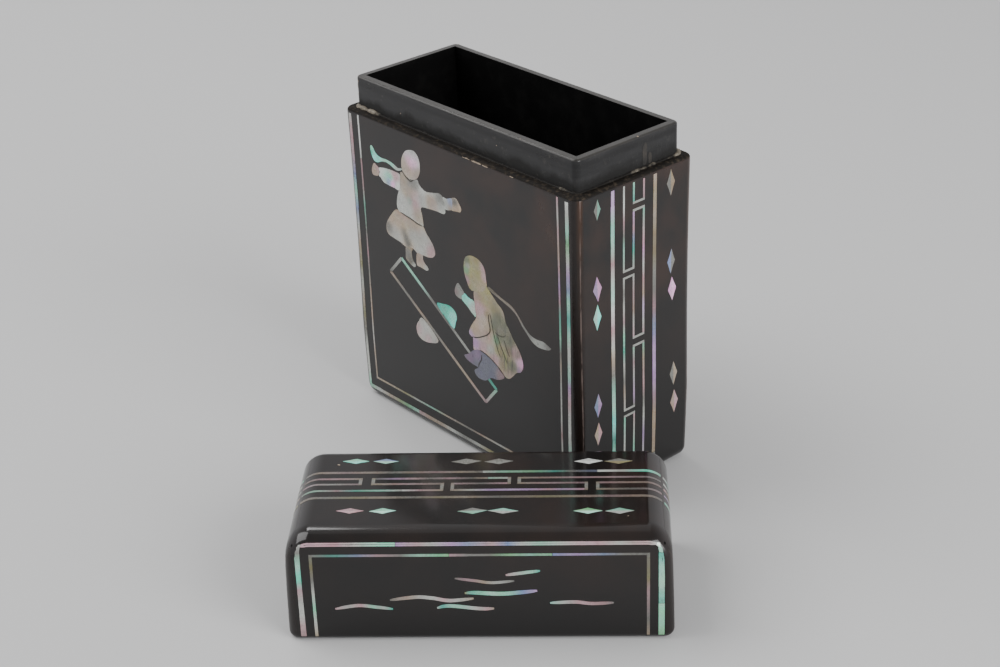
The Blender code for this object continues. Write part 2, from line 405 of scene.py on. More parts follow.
def beginBox(width, depth, bottom, top):
    shape = bmesh.new()
    bmesh.ops.create_cube(shape, size=1.0)
    bmesh.ops.scale(shape, vec=(width, depth, top - bottom), verts=shape.verts)
    bmesh.ops.translate(shape, vec=(0.0, 0.0, (top + bottom) / 2), verts=shape.verts)
    return shape


def isAt(edge, axis, value):
    return all(abs(v.co[axis] - value) < levelGap for v in edge.verts)


def roundEdges(shape, edges, radius, steps):
    bmesh.ops.bevel(shape, geom=edges, offset=radius, segments=steps, profile=0.5, affect="EDGES",
                    clamp_overlap=True)


def cutAt(shape, height):
    bmesh.ops.bisect_plane(shape, geom=[*shape.verts, *shape.edges, *shape.faces], plane_co=(0.0, 0.0, height),
                           plane_no=(0.0, 0.0, 1.0))


def drawIn(shape, start, inset, swell):
    for vert in shape.verts:
        share = min(1.0, max(0.0, (start - vert.co.z) / start))
        move = inset * share - swell * 4 * share * (1 - share)
        for axis in (0, 1):
            vert.co[axis] -= math.copysign(move, vert.co[axis])


def makeTub(form):
    # closed at z = 0, open at z = height
    width, depth, height = form["width"], form["depth"], form["height"]
    shape = beginBox(width, depth, 0.0, height)
    ends = [e for e in shape.edges if isAt(e, 2, 0.0) and abs(e.verts[0].co.y - e.verts[1].co.y) > depth / 2]
    roundEdges(shape, ends, form["cornerRadius"], roundSteps["corner"])
    outline = [e for e in shape.edges
               if (isAt(e, 1, depth / 2) or isAt(e, 1, -depth / 2)) and not isAt(e, 2, height)]
    roundEdges(shape, outline, form["edgeRadius"], roundSteps["edge"])
    roundEdges(shape, [e for e in shape.edges if isAt(e, 2, height)], form["lipRadius"], roundSteps["lip"])
    free = height - form["cornerRadius"] - form["lipRadius"]
    for step in range(1, form["rings"]):
        cutAt(shape, form["cornerRadius"] + free * step / form["rings"])
    drawIn(shape, height, form["inset"], form["swell"])
    soften(shape, depth / 2, form["cornerRadius"], form["softness"])
    return shape


def soften(shape, halfDepth, reach, softness):
    # draws one long edge of the closed end further in over the flat, so that it turns more gently
    for vert in shape.verts:
        share = min(1.0, max(0.0, (1.3 * reach - vert.co.z) / reach))
        share = share * share * (3 - 2 * share)
        inward = halfDepth - vert.co.y
        if 0.0 < inward < halfDepth / 2:
            vert.co.y = halfDepth - inward * (1 + softness * share)


def makeSleeve(width, depth, radius, bottom, top):
    shape = beginBox(width, depth, bottom, top)
    uprights = [e for e in shape.edges if abs(e.verts[0].co.z - e.verts[1].co.z) > (top - bottom) / 2]
    roundEdges(shape, uprights, radius, roundSteps["upright"])
    return shape


def asObject(shape, name, *materials):
    bmesh.ops.recalc_face_normals(shape, faces=shape.faces)
    mesh = bpy.data.meshes.new(name)
    shape.to_mesh(mesh)
    shape.free()
    for material in materials:
        mesh.materials.append(material)
    return addObject(name, mesh)


def settle(made, name):
    # the evaluated mesh of an object, as a plain object in its place
    bpy.context.view_layer.update()
    deps = bpy.context.evaluated_depsgraph_get()
    mesh = bpy.data.meshes.new_from_object(made.evaluated_get(deps), preserve_all_data_layers=True,
                                           depsgraph=deps)
    old = made.data
    bpy.data.objects.remove(made, do_unlink=True)
    if old.users == 0:
        bpy.data.meshes.remove(old)
    mesh.name = name
    return addObject(name, mesh)


def hollowOut(made, cutter, name, inner):
    # takes the cutter out, gives each face the material that inner names, and evens the shading
    modifier = made.modifiers.new("hollow", "BOOLEAN")
    modifier.operation = "DIFFERENCE"
    modifier.solver = "EXACT"
    modifier.object = cutter
    made = settle(made, name)
    bpy.data.objects.remove(cutter, do_unlink=True)
    mesh = made.data
    for face in mesh.polygons:
        face.material_index = int(inner(face.center, face.normal))
    mesh.shade_smooth()
    mesh.set_sharp_from_angle(angle=shellCrease)
    even = made.modifiers.new("even", "WEIGHTED_NORMAL")
    even.keep_sharp = True
    return settle(made, name)


bodyForm = {"width": 0.0800, "depth": 0.0360, "height": 0.0775, "cornerRadius": 0.0028, "edgeRadius": 0.0022,
            "lipRadius": 0.0010, "inset": 0.00033, "swell": 0.00032, "rings": 14, "softness": 0.0, "wall": 0.0020,
            "floor": 0.0024}
lidForm = {"width": 0.0800, "depth": 0.0360, "height": 0.0247, "cornerRadius": 0.0050, "edgeRadius": 0.0022,
           "lipRadius": 0.0016, "inset": 0.00073, "swell": 0.00010, "rings": 8, "softness": 1.1, "crown": 0.0024}
linerForm = {"gap": 0.0003, "wall": 0.0019, "cornerRadius": 0.0015, "rimRadius": 0.0006, "neck": 0.0076,
             "headroom": 0.0008, "overrun": 0.005}


def linerSize():
    less = 2 * (bodyForm["wall"] + linerForm["gap"])
    return bodyForm["width"] - less, bodyForm["depth"] - less


def makeBody():
    width, depth = linerSize()
    gap = linerForm["gap"]
    body = asObject(makeTub(bodyForm), "bodyShell", bodyLacquer, insideBlack, seamGrime)
    room = makeSleeve(width + 2 * gap, depth + 2 * gap, linerForm["cornerRadius"] + gap, bodyForm["floor"],
                      bodyForm["height"] + linerForm["overrun"])
    edge = (width / 2 + gap + faceGap, depth / 2 + gap + faceGap)

    def finishOf(c, n):
        # dirt lies on the flat of the shoulder
        if c.z > bodyForm["height"] - 0.8 * bodyForm["lipRadius"] and n.z > 0.3:
            return 2
        return abs(c.x) < edge[0] and abs(c.y) < edge[1] and c.z > bodyForm["floor"] - faceGap

    return hollowOut(body, asObject(room, "room"), "bodyShell", finishOf)


def makeNeck():
    width, depth = linerSize()
    bottom, top = bodyForm["floor"] + linerForm["gap"], bodyForm["height"] + linerForm["neck"]
    sleeve = makeSleeve(width, depth, linerForm["cornerRadius"], bottom, top)
    roundEdges(sleeve, [e for e in sleeve.edges if isAt(e, 2, top)], linerForm["rimRadius"],
               roundSteps["upright"])
    inside = (width / 2 - linerForm["wall"], depth / 2 - linerForm["wall"])
    bore = asObject(beginBox(2 * inside[0], 2 * inside[1], bottom - linerForm["overrun"],
                             top + linerForm["overrun"]), "bore")
    return hollowOut(asObject(sleeve, "neckLiner", neckLacquer, insideBlack), bore, "neckLiner",
                     lambda c, n: (abs(c.x) < inside[0] + faceGap and abs(c.y) < inside[1] + faceGap
                                   and bottom + faceGap < c.z < top - faceGap))


def makeLid():
    # made crown down, then turned over; its place is given when all its inlay is on it
    width, depth = linerSize()
    gap = linerForm["gap"]
    lid = asObject(makeTub(lidForm), "lidShell", lidLacquer, insideBlack)
    socket = makeSleeve(width + 2 * gap, depth + 2 * gap, linerForm["cornerRadius"] + gap, lidForm["crown"],
                        lidForm["height"] + linerForm["overrun"])
    reach = lidForm["height"] - linerForm["neck"] - linerForm["headroom"]
    cutAt(socket, reach)
    drawIn(socket, reach, lidForm["inset"], 0.0)
    edge = (width / 2 + gap + faceGap, depth / 2 + gap + faceGap)
    lid = hollowOut(lid, asObject(socket, "socket"), "lidShell",
                    lambda c, n: abs(c.x) < edge[0] and abs(c.y) < edge[1] and c.z > lidForm["crown"] - faceGap)
    lid.data.transform(Matrix.Translation((0.0, 0.0, lidForm["height"])) @ Matrix.Rotation(math.pi, 4, "X"))
    return lid


bodyShell = makeBody()
neckLiner = makeNeck()
lidShell = makeLid()
print("shells made:", [len(o.data.polygons) for o in (bodyShell, neckLiner, lidShell)])


# geometry node trees that lay shell on the box. Everything is drawn flat, x and y on the face and z its height

pressInputs = [("Geometry", "Geometry", None), ("Shell", "Object", None), ("Origin", "Vector", (0.0, 0.0, 0.0)),
               ("Along", "Vector", (1.0, 0.0, 0.0)), ("Up", "Vector", (0.0, 0.0, 1.0))]
depthInputs = [("Lift", "Float", 0.04 * mm), ("Sink", "Float", 0.06 * mm), ("Finish", "Material", None)]


def chanceInputs(unevenness):
    return [("Unevenness", "Float", unevenness), ("Seed", "Int", 1)]


def geo(tree, kind, inputs=None, **settings):
    return addNode(tree, "GeometryNode" + kind, inputs, **settings)


def newTree(name, inputs):
    return newGroup(name, "GeometryNodeTree", inputs, [("Geometry", "Geometry")])


def makePress():
    tree, inp, out = newTree("pressOntoShell", pressInputs)
    shell = geo(tree, "ObjectInfo", {"Object": inp["Shell"]})["Geometry"]
    x, y, z = split(geo(tree, "InputPosition")[0])
    flat = vectorMath("ADD", inp["Origin"], vectorMath("SCALE", inp["Along"], x))
    flat = vectorMath("ADD", flat, vectorMath("SCALE", inp["Up"], y))
    near = geo(tree, "Proximity", {0: shell, "Sample Position": flat}, target_element="FACES")
    normal = geo(tree, "SampleNearestSurface", {"Mesh": shell, "Value": geo(tree, "InputNormal")[0],
                                                "Sample Position": flat}, data_type="FLOAT_VECTOR")
    lift = vectorMath("SCALE", pickSocket(normal, "Value"), z)
    moved = geo(tree, "SetPosition", {"Geometry": inp["Geometry"],
                                      "Position": vectorMath("ADD", near["Position"], lift)})
    join(moved[0], out[0])
    return tree


pressOntoShell = makePress()


def endTree(tree, inp, out, geometry, pressed=True):
    # realize, press onto the shell, set the material
    done = geo(tree, "RealizeInstances", {"Geometry": geometry})[0]
    if pressed:
        face = {name: inp[name] for name in ("Shell", "Origin", "Along", "Up")}
        done = geo(tree, "Group", {"Geometry": done, **face}, node_tree=pressOntoShell)[0]
    join(geo(tree, "SetMaterial", {"Geometry": done, "Material": inp["Finish"]})[0], out[0])
    return tree


def named(tree, name, kind="FLOAT"):
    return pickSocket(geo(tree, "InputNamedAttribute", {"Name": name}, data_type=kind), "Attribute")


def store(tree, geometry, name, value, kind, domain):
    return geo(tree, "StoreNamedAttribute", {"Geometry": geometry, "Name": name, "Value": value},
               data_type=kind, domain=domain)[0]


def flatPlate(tree, inp, geometry):
    # moves points above z = 0 to the lift and the others down to the sink
    x, y, z = split(geo(tree, "InputPosition")[0])
    above = plainMath("GREATER_THAN", z, 0.0)
    height = minus(times(above, plus(inp["Lift"], inp["Sink"])), inp["Sink"])
    return geo(tree, "SetPosition", {"Geometry": geometry, "Position": combine(tree, x, y, height)})[0]


def blendTints(tree, geometry, share):
    # the attribute tint passes over to tintEnd by the share
    first, last = named(tree, "tint", "FLOAT_VECTOR"), named(tree, "tintEnd", "FLOAT_VECTOR")
    mixed = vectorMath("ADD", first, vectorMath("SCALE", vectorMath("SUBTRACT", last, first), share))
    return store(tree, geometry, "tint", mixed, "FLOAT_VECTOR", "CORNER")


def varied(tree, inp, seed):
    # a factor near 1, by chance
    chance = addNode(tree, "FunctionNodeRandomValue", {"Min": minus(1.0, inp["Unevenness"]),
                                                       "Max": plus(1.0, inp["Unevenness"]), "Seed": seed},
                     data_type="FLOAT")
    return pickSocket(chance, "Value")


def placeLeaves(tree, points, leaf, turn, length, breadth):
    laid = geo(tree, "InstanceOnPoints", {
        "Points": points, "Instance": leaf, "Rotation": combine(tree, 0.0, 0.0, turn),
        "Scale": combine(tree, length, breadth, 1.0)})[0]
    return geo(tree, "RealizeInstances", {"Geometry": laid})[0]


def makeLeafLines():
    # every edge of the drawing becomes one straight leaf of shell
    tree, inp, out = newTree("leafLines", pressInputs + depthInputs + chanceInputs(0.03))
    ends = geo(tree, "InputMeshEdgeVertices")
    reach = vectorMath("SUBTRACT", ends["Position 2"], ends["Position 1"])
    kept = store(tree, inp["Geometry"], "reach", reach, "FLOAT_VECTOR", "EDGE")
    points = geo(tree, "MeshToPoints", {"Mesh": kept}, mode="EDGES")[0]
    reachBack = named(tree, "reach", "FLOAT_VECTOR")
    x, y = split(reachBack)[:2]
    length = addNode(tree, "ShaderNodeVectorMath", {0: reachBack}, operation="LENGTH")["Value"]
    width = times(named(tree, "broad"), varied(tree, inp, inp["Seed"]))
    block = geo(tree, "MeshCube", {"Size": (1.0, 1.0, 1.0), "Vertices X": 24, "Vertices Y": 2, "Vertices Z": 2})
    spot = split(geo(tree, "InputPosition")[0])
    leaf = flatPlate(tree, inp, store(tree, block["Mesh"], "along", spot["X"], "FLOAT", "POINT"))
    real = placeLeaves(tree, points, leaf, plainMath("ARCTAN2", y, x), length, width)
    return endTree(tree, inp, out, blendTints(tree, real, plus(named(tree, "along"), 0.5)))


def makeLozenges():
    # every point of the drawing becomes one two-tone lozenge
    tree, inp, out = newTree("lozenges", pressInputs + depthInputs + chanceInputs(0.05) + [
        ("Template", "Object", None), ("Length", "Float", 6 * mm), ("Breadth", "Float", 2.4 * mm),
        ("Turn", "Float", 0.0)])
    points = geo(tree, "MeshToPoints", {"Mesh": inp["Geometry"]}, mode="VERTICES")[0]
    leaf = flatPlate(tree, inp, geo(tree, "ObjectInfo", {"Object": inp["Template"]})["Geometry"])
    second = varied(tree, inp, plus(inp["Seed"], 7.0))
    long = times(times(inp["Length"], varied(tree, inp, inp["Seed"])), named(tree, "scale"))
    broad = times(times(inp["Breadth"], second), named(tree, "scale"))
    real = placeLeaves(tree, points, leaf, plus(inp["Turn"], minus(second, 1.0)), long, broad)
    return endTree(tree, inp, out, blendTints(tree, real, named(tree, "half")))


def sweep(tree, curve, profile, broad, **values):
    return geo(tree, "CurveToMesh", {"Curve": curve, "Profile Curve": profile, "Scale": broad, **values})[0]


def evenCurve(tree, inp):
    curve = geo(tree, "MeshToCurve", {"Mesh": inp["Geometry"]})[0]
    return geo(tree, "ResampleCurve", {"Curve": curve, "Length": inp["Step"]}, mode="LENGTH")[0]


def makeStrokes():
    # every line of the drawing becomes one curved sliver, broad in the middle and drawn out at its ends
    tree, inp, out = newTree("strokes", pressInputs + depthInputs + [
        ("Tip", "Float", 0.45), ("Power", "Float", 6.0), ("Step", "Float", 0.25 * mm)])
    even = evenCurve(tree, inp)
    fromMiddle = magnitude(minus(times(geo(tree, "SplineParameter")["Factor"], 2.0), 1.0))
    taper = minus(1.0, times(power(fromMiddle, inp["Power"]), minus(1.0, inp["Tip"])))
    profile = geo(tree, "CurvePrimitiveQuadrilateral", {"Width": 1.0, "Height": 1.0})[0]
    swept = sweep(tree, even, profile, times(named(tree, "broad"), taper), **{"Fill Caps": True})
    return endTree(tree, inp, out, flatPlate(tree, inp, swept))


def makePlates():
    # flat shapes, cut out whole
    tree, inp, out = newTree("plates", pressInputs + depthInputs)
    return endTree(tree, inp, out, flatPlate(tree, inp, inp["Geometry"]))


def makeGlueBead():
    # old glue round the foot of the neck: a lumpy bead along a closed path, as thick as the path says
    tree, inp, out = newTree("glueBead", [
        ("Geometry", "Geometry", None), ("Lumps", "Float", 0.55), ("Wander", "Float", 0.15 * mm),
        ("Step", "Float", 0.22 * mm), ("Least", "Float", 0.35), ("Finish", "Material", None)])
    even = evenCurve(tree, inp)
    place = geo(tree, "InputPosition")[0]
    lump = minus(noise(place, 700.0, 3.0, 0.6), 0.5)
    sway = vectorMath("SUBTRACT", noise(place, 420.0, output="Color"), (0.5, 0.5, 0.5))
    moved = geo(tree, "SetPosition", {"Geometry": even, "Offset": vectorMath("SCALE", sway, inp["Wander"])})[0]
    swell = plainMath("MAXIMUM", plus(times(lump, times(inp["Lumps"], 4.0)), 1.0), inp["Least"])
    profile = geo(tree, "CurvePrimitiveCircle", {"Resolution": 9, "Radius": 1.0})[0]
    swept = sweep(tree, moved, profile, times(named(tree, "broad"), swell))
    return endTree(tree, inp, out, swept, pressed=False)


leafLines, lozenges, strokes, plates, glueBead = (make() for make in (
    makeLeafLines, makeLozenges, makeStrokes, makePlates, makeGlueBead))
print("inlay trees made")


def runTree(name, drawing, tree, values):
    # runs a tree over a flat drawing and leaves a plain, smooth mesh
    socket = {i.name: i.identifier for i in tree.interface.items_tree
              if i.item_type == "SOCKET" and i.in_out == "INPUT"}
    flat = addObject(name, drawing)
    modifier = flat.modifiers.new("inlay", "NODES")
    modifier.node_group = tree
    for label, value in values.items():
        modifier[socket[label]] = value
    made = settle(flat, name)
    made.data.shade_smooth()
    return made


pieces = []  # (object, slot or None, True where it belongs to the lid)


def layOn(name, drawing, tree, face, finish, **values):
    # runs a tree over a drawing, onto a face of the box
    given = {label: face[label.lower()] for label in ("Shell", "Origin", "Along", "Up")}
    made = runTree(name, drawing, tree, {**given, "Finish": finish, **values})
    shape = bmesh.new()
    shape.from_mesh(made.data)
    bmesh.ops.recalc_face_normals(shape, faces=shape.faces)
    shape.to_mesh(made.data)
    shape.free()
    made.data.set_sharp_from_angle(angle=inlayCrease)
    pieces.append((made, None, face["onLid"]))


# faces of the box that carry inlay. Sizes on them are in millimetres, from the middle of the foot or rim

def facesOf(shell, width, depth, height, onLid=False):
    x, y = width / 2, depth / 2
    rows = {"front": ((0, -y, 0), (1, 0, 0), (0, 0, 1)), "back": ((0, y, 0), (-1, 0, 0), (0, 0, 1)),
            "right": ((x, 0, 0), (0, 1, 0), (0, 0, 1)), "left": ((-x, 0, 0), (0, -1, 0), (0, 0, 1)),
            "top": ((0, 0, height), (1, 0, 0), (0, 1, 0))}
    return {side: {"shell": shell, "origin": origin, "along": along, "up": up, "onLid": onLid}
            for side, (origin, along, up) in rows.items()}


bodyFaces = facesOf(bodyShell, bodyForm["width"], bodyForm["depth"], bodyForm["height"])
lidFaces = facesOf(lidShell, lidForm["width"], lidForm["depth"], lidForm["height"], True)
neckFaces = facesOf(neckLiner, *linerSize(), 85.1 * mm)


def giveAttribute(mesh, label, domain, values):
    if isinstance(values[0], float):
        mesh.attributes.new(label, "FLOAT", domain).data.foreach_set("value", values)
    else:
        flat = [number for value in values for number in value]
        mesh.attributes.new(label, "FLOAT_VECTOR", domain).data.foreach_set("vector", flat)


def drawingOf(name, points, edges, domain, values):
    mesh = bpy.data.meshes.new(name)
    mesh.from_pydata([(x * mm, y * mm, 0.0) for x, y in points], edges, [])
    for label, row in values.items():
        giveAttribute(mesh, label, domain, row)
    return mesh


def tintOf(word, dim=0.0):
    # "rose:4" is rose, four tenths of the way to dark
    name, _, dull = word.partition(":")
    return Vector(nacreTones[name]).lerp(nacreDark, min(1.0, max(0.0, int(dull or 0) / 10 + dim)))


chanceTones = ["silver", "silver:1", "beige:1", "rose:2", "silver:2", "mint:3", "grey", "silver:3", "beige:2",
               "lilac:3", "olive:2", "teal:3", "silver:2"]
leafHabits = {"tonesPerLeaf": 2.2, "barShare": 0.25, "shift": 0.22, "gap": 0.10, "breadth": (0.93, 1.07),
              "newBreadth": 0.3}


def leavesAlong(rows, dim=0.0):
    # splits each ruled line (start, end, width, tones, length of a leaf) into leaves. The tone passes softly along
    # the line and jumps at a bar. A line without tones gets some by chance
    points, edges = [], []
    values = {"broad": [], "tint": [], "tintEnd": []}
    s = leafHabits
    for start, end, width, tones, leafLength in rows:
        a, b = Vector(start), Vector(end)
        if not tones:
            count = max(2, round(s["tonesPerLeaf"] * (b - a).length / leafLength))
            tones = " ".join(dice.choice(chanceTones) + (" |" if dice.random() < s["barShare"] else "")
                             for _ in range(count))
        runs = [run.split() for run in tones.split("|") if run.strip()]
        steps = [pair for run in runs for pair in (zip(run, run[1:]) if len(run) > 1 else [(run[0], run[0])])]
        ends, total = set(), 0
        for run in runs:
            total += max(1, len(run) - 1)
            ends.add(total)
        count = len(steps)
        cuts = sorted((k + dice.uniform(-s["shift"], s["shift"])) / count for k in range(1, count))
        cuts = [0.0] + cuts + [1.0]
        gap = s["gap"] / max(0.2, (b - a).length)
        broad = width * mm * dice.uniform(*s["breadth"])
        for index, (first, last) in enumerate(steps):
            isEnd = index + 1 in ends and index + 1 < count
            at = len(points)
            end = cuts[index + 1] - (gap if isEnd else 0.0)
            points += [tuple(a.lerp(b, cuts[index])), tuple(a.lerp(b, end))]
            edges.append((at, at + 1))
            values["broad"].append(broad)
            values["tint"].append(tintOf(first, dim))
            values["tintEnd"].append(tintOf(last, dim))
            if isEnd or dice.random() < s["newBreadth"]:
                broad = width * mm * dice.uniform(*s["breadth"])
    return points, edges, values


def ruled(name, rows, face, dim=0.0):
    points, edges, values = leavesAlong(rows, dim)
    layOn(name, drawingOf(name, points, edges, "EDGE", values), leafLines, face, nacre,
          Seed=dice.randint(1, 9999))


def makeTemplate():
    # a lozenge one unit long and broad, split down its length
    mesh = bpy.data.meshes.new("lozengeTemplate")
    rim = [(-0.5, 0.0), (-0.24, -0.24), (0.0, -0.5), (0.24, -0.24), (0.5, 0.0), (0.24, 0.24), (0.0, 0.5),
           (-0.24, 0.24)]
    spine = [(-0.24, 0.0), (0.0, 0.0), (0.24, 0.0)]
    verts = [(x, y, z) for z in (0.5, -0.5) for x, y in rim + spine]
    top = [(0, 1, 8), (8, 1, 2, 9), (9, 2, 3, 10), (10, 3, 4), (0, 8, 7), (8, 9, 6, 7), (9, 10, 5, 6), (10, 4, 5)]
    halves = [0, 0, 0, 0, 1, 1, 1, 1]
    count = len(rim) + len(spine)
    faces = top + [tuple(v + count for v in reversed(f)) for f in top]
    faces += [(i, i + count, (i + 1) % 8 + count, (i + 1) % 8) for i in range(8)]
    mesh.from_pydata(verts, [], faces)
    mesh.attributes.new("half", "FLOAT", "FACE").data.foreach_set("value", halves * 2 + [0] * 8)
    return addObject("lozengeTemplate", mesh)


lozengeTemplate = makeTemplate()
lozenge = {"length": 6.2 * mm, "breadth": 2.5 * mm, "lidBreadth": 2.15 * mm}


def studded(name, spots, face, upright, breadth="breadth"):
    words = [spot[2].split("/") for spot in spots]
    values = {"tint": [tintOf(w[0]) for w in words], "tintEnd": [tintOf(w[-1]) * 0.85 for w in words],
              "scale": [spot[3] if len(spot) > 3 else 1.0 for spot in spots]}
    drawing = drawingOf(name, [spot[:2] for spot in spots], [], "POINT", values)
    layOn(name, drawing, lozenges, face, nacre, Template=lozengeTemplate, Length=lozenge["length"],
          Breadth=lozenge[breadth], Turn=math.pi / 2 if upright else 0.0, Seed=dice.randint(1, 9999))


def smoothLine(points, steps, closed=False):
    # a curve through the drawn points
    count = len(points)
    made = []
    for i in range(count if closed else count - 1):
        if closed:
            p = [Vector(points[(i + k) % count]) for k in (-1, 0, 1, 2)]
        else:
            p = [Vector(points[min(count - 1, max(0, i + k))]) for k in (-1, 0, 1, 2)]
        for step in range(steps):
            t = step / steps
            made.append(0.5 * (2 * p[1] + (p[2] - p[0]) * t + (2 * p[0] - 5 * p[1] + 4 * p[2] - p[3]) * t * t
                               + (3 * p[1] - p[0] - 3 * p[2] + p[3]) * t ** 3))
    if not closed:
        made.append(Vector(points[-1]))
    return [tuple(v) for v in made]


def stroked(name, lines, face, finish, **values):
    # lines are (points, width, tones from start to end)
    points, edges, broad, tint = [], [], [], []
    for drawn, width, tones in lines:
        curve = smoothLine(drawn, 6)
        start = len(points)
        points += curve
        edges += [(start + i, start + i + 1) for i in range(len(curve) - 1)]
        broad += [width * mm] * len(curve)
        tints = [tintOf(word) for word in tones.split()]
        for i in range(len(curve)):
            place = i / (len(curve) - 1) * (len(tints) - 1)
            k = min(len(tints) - 2, int(place)) if len(tints) > 1 else 0
            tint.append(tints[k].lerp(tints[min(k + 1, len(tints) - 1)], place - k))
    drawing = drawingOf(name, points, edges, "POINT", {"broad": broad, "tint": tint})
    layOn(name, drawing, strokes, face, finish, **values)


def isInside(point, outline):
    inside = False
    for (ax, ay), (bx, by) in zip(outline, outline[1:] + outline[:1]):
        if (ay > point[1]) != (by > point[1]):
            if point[0] < ax + (point[1] - ay) / (by - ay) * (bx - ax):
                inside = not inside
    return inside


def cutOut(name, shapes, face, finish, spacing=0.55, **values):
    # plates from drawn outlines. A shape is (outline, tone, spots), a spot (x, y, reach, tone, streaks), and
    # the shell's tone passes softly from spot to spot
    verts, faces = [], []
    given = {"tint": [], "streaks": []}
    for outline, baseTone, spots in shapes:
        xs, ys = [x for x, _ in outline], [y for _, y in outline]
        grid = []
        for row in range(int((max(ys) - min(ys)) / spacing) + 1):
            for column in range(int((max(xs) - min(xs)) / spacing) + 1):
                spot = (min(xs) + (column + 0.5 * (row % 2)) * spacing, min(ys) + (row + 0.5) * spacing)
                if isInside(spot, outline):
                    grid.append(spot)
        rim = list(range(len(outline)))
        flat = delaunay_2d_cdt([Vector(p) for p in outline + grid], [], [rim], 1, 1e-4)
        points, corners = flat[0], flat[2]
        count, first = len(points), len(verts)
        verts += [(p.x * mm, p.y * mm, 0.5) for p in points] + [(p.x * mm, p.y * mm, -0.5) for p in points]
        ups = [c if isLeftTurn(*(points[i] for i in c)) else c[::-1] for c in (list(f) for f in corners)]
        faces += [[first + i for i in c] for c in ups] + [[first + count + i for i in c[::-1]] for c in ups]
        sides = {}
        for c in ups:
            for a, b in zip(c, c[1:] + c[:1]):
                sides[(a, b)] = (b, a) not in sides
                if (b, a) in sides:
                    sides[(b, a)] = False
        faces += [(first + b, first + a, first + count + a, first + count + b) for (a, b), open_ in sides.items()
                  if open_]
        tints = [tintOf(spot[3]) for spot in spots]
        strength = [spot[4] if len(spot) > 4 else 0.0 for spot in spots]
        for p in points:
            weights = [math.exp(-((p.x - x) ** 2 + (p.y - y) ** 2) / r ** 2) for x, y, r, *_ in spots]
            total = 0.08 + sum(weights)
            given["tint"].append(sum((w * t for w, t in zip(weights, tints)), 0.08 * tintOf(baseTone)) / total)
            given["streaks"].append(sum(w * k for w, k in zip(weights, strength)) / total)
        for label in given:
            given[label] += given[label][-count:]
    mesh = bpy.data.meshes.new(name)
    mesh.from_pydata(verts, [], faces)
    for label, row in given.items():
        giveAttribute(mesh, label, "POINT", row)
    layOn(name, mesh, plates, face, finish, **values)


def isLeftTurn(a, b, c):
    return (b.x - a.x) * (c.y - a.y) - (b.y - a.y) * (c.x - a.x) > 0


# key-fret bands and borders

dice = random.Random(11)
bodyBorders = {"wide": 0.95, "thin": 0.5, "outerX": (-37.6, 37.0), "outerZ": 2.4, "innerX": (-34.5, 34.1),
               "innerZ": 5.7, "top": 76.3, "lean": 0.35, "innerRise": 0.3,
               "tones": ["silver:2 rose:2 rose:3 blue:4 mint:2 blue:3 silver:2 beige:3 olive:4 silver:3 "
                         "beige:4 olive:5 grey:3 silver:1 silver:1 mint:2",
                         "mint:4 silver:2 beige:3 green:5 mint:3 | rose:4 beige:4 beige:4 silver:2 grey:3 "
                         "silver:3 olive:3 beige:4 rose:4 silver:3 silver:4 mint:4 silver:3",
                         "white:1 silver:1 mint:2 green:3 silver:1 lilac:2 blue:3 mint:1 teal:2 mint:1 "
                         "silver:1 silver mint:2 lilac:3 rose:1 silver:1 silver silver:2 mint:2 silver:2 "
                         "rose:3 mint:4",
                         "white:1 white:1 silver:1 | rose:4 rose:5 mint:5 grey:4 rose:4 grey:3 beige:3 "
                         "beige:3 silver:3 beige:3 beige:4",
                         "beige:3 beige:4 olive:4 silver:4 mint:5 beige:4 grey:4 beige:4 silver:4 beige:4 "
                         "rose:4 silver:4 beige:4",
                         "rose:2 silver:2 rose:3 beige:2 rose:3 lilac:3 rose:4 teal:3 mint:3 grey:4 beige:4 "
                         "silver:4 silver:3 silver:2 rose:4 silver:2 beige:3 rose:3"]}


def bodyBorderRows(plain=False):
    s = bodyBorders
    (left, right), (innerLeft, innerRight) = s["outerX"], s["innerX"]
    top, low, innerLow, w, t = s["top"], s["outerZ"], s["innerZ"], s["wide"], s["thin"]
    innerTop, lean = top + s["innerRise"], s["lean"]
    if plain:
        left, innerLeft, lean = -right, -innerRight, 0.0
    ends = [((left, top), (left, low + w / 2), w, 8.0), ((left - w / 2, low), (right + w / 2, low), w, 9.0),
            ((right, top), (right - lean, low + w / 2), w, 8.0),
            ((innerLeft, innerTop), (innerLeft, innerLow + t / 2), t, 8.0),
            ((innerLeft - t / 2, innerLow), (innerRight + t / 2, innerLow), t, 8.0),
            ((innerRight, innerTop), (innerRight, innerLow + t / 2), t, 8.0)]
    return [(a, b, width, "" if plain else tones, leaf) for (a, b, width, leaf), tones in zip(ends, s["tones"])]


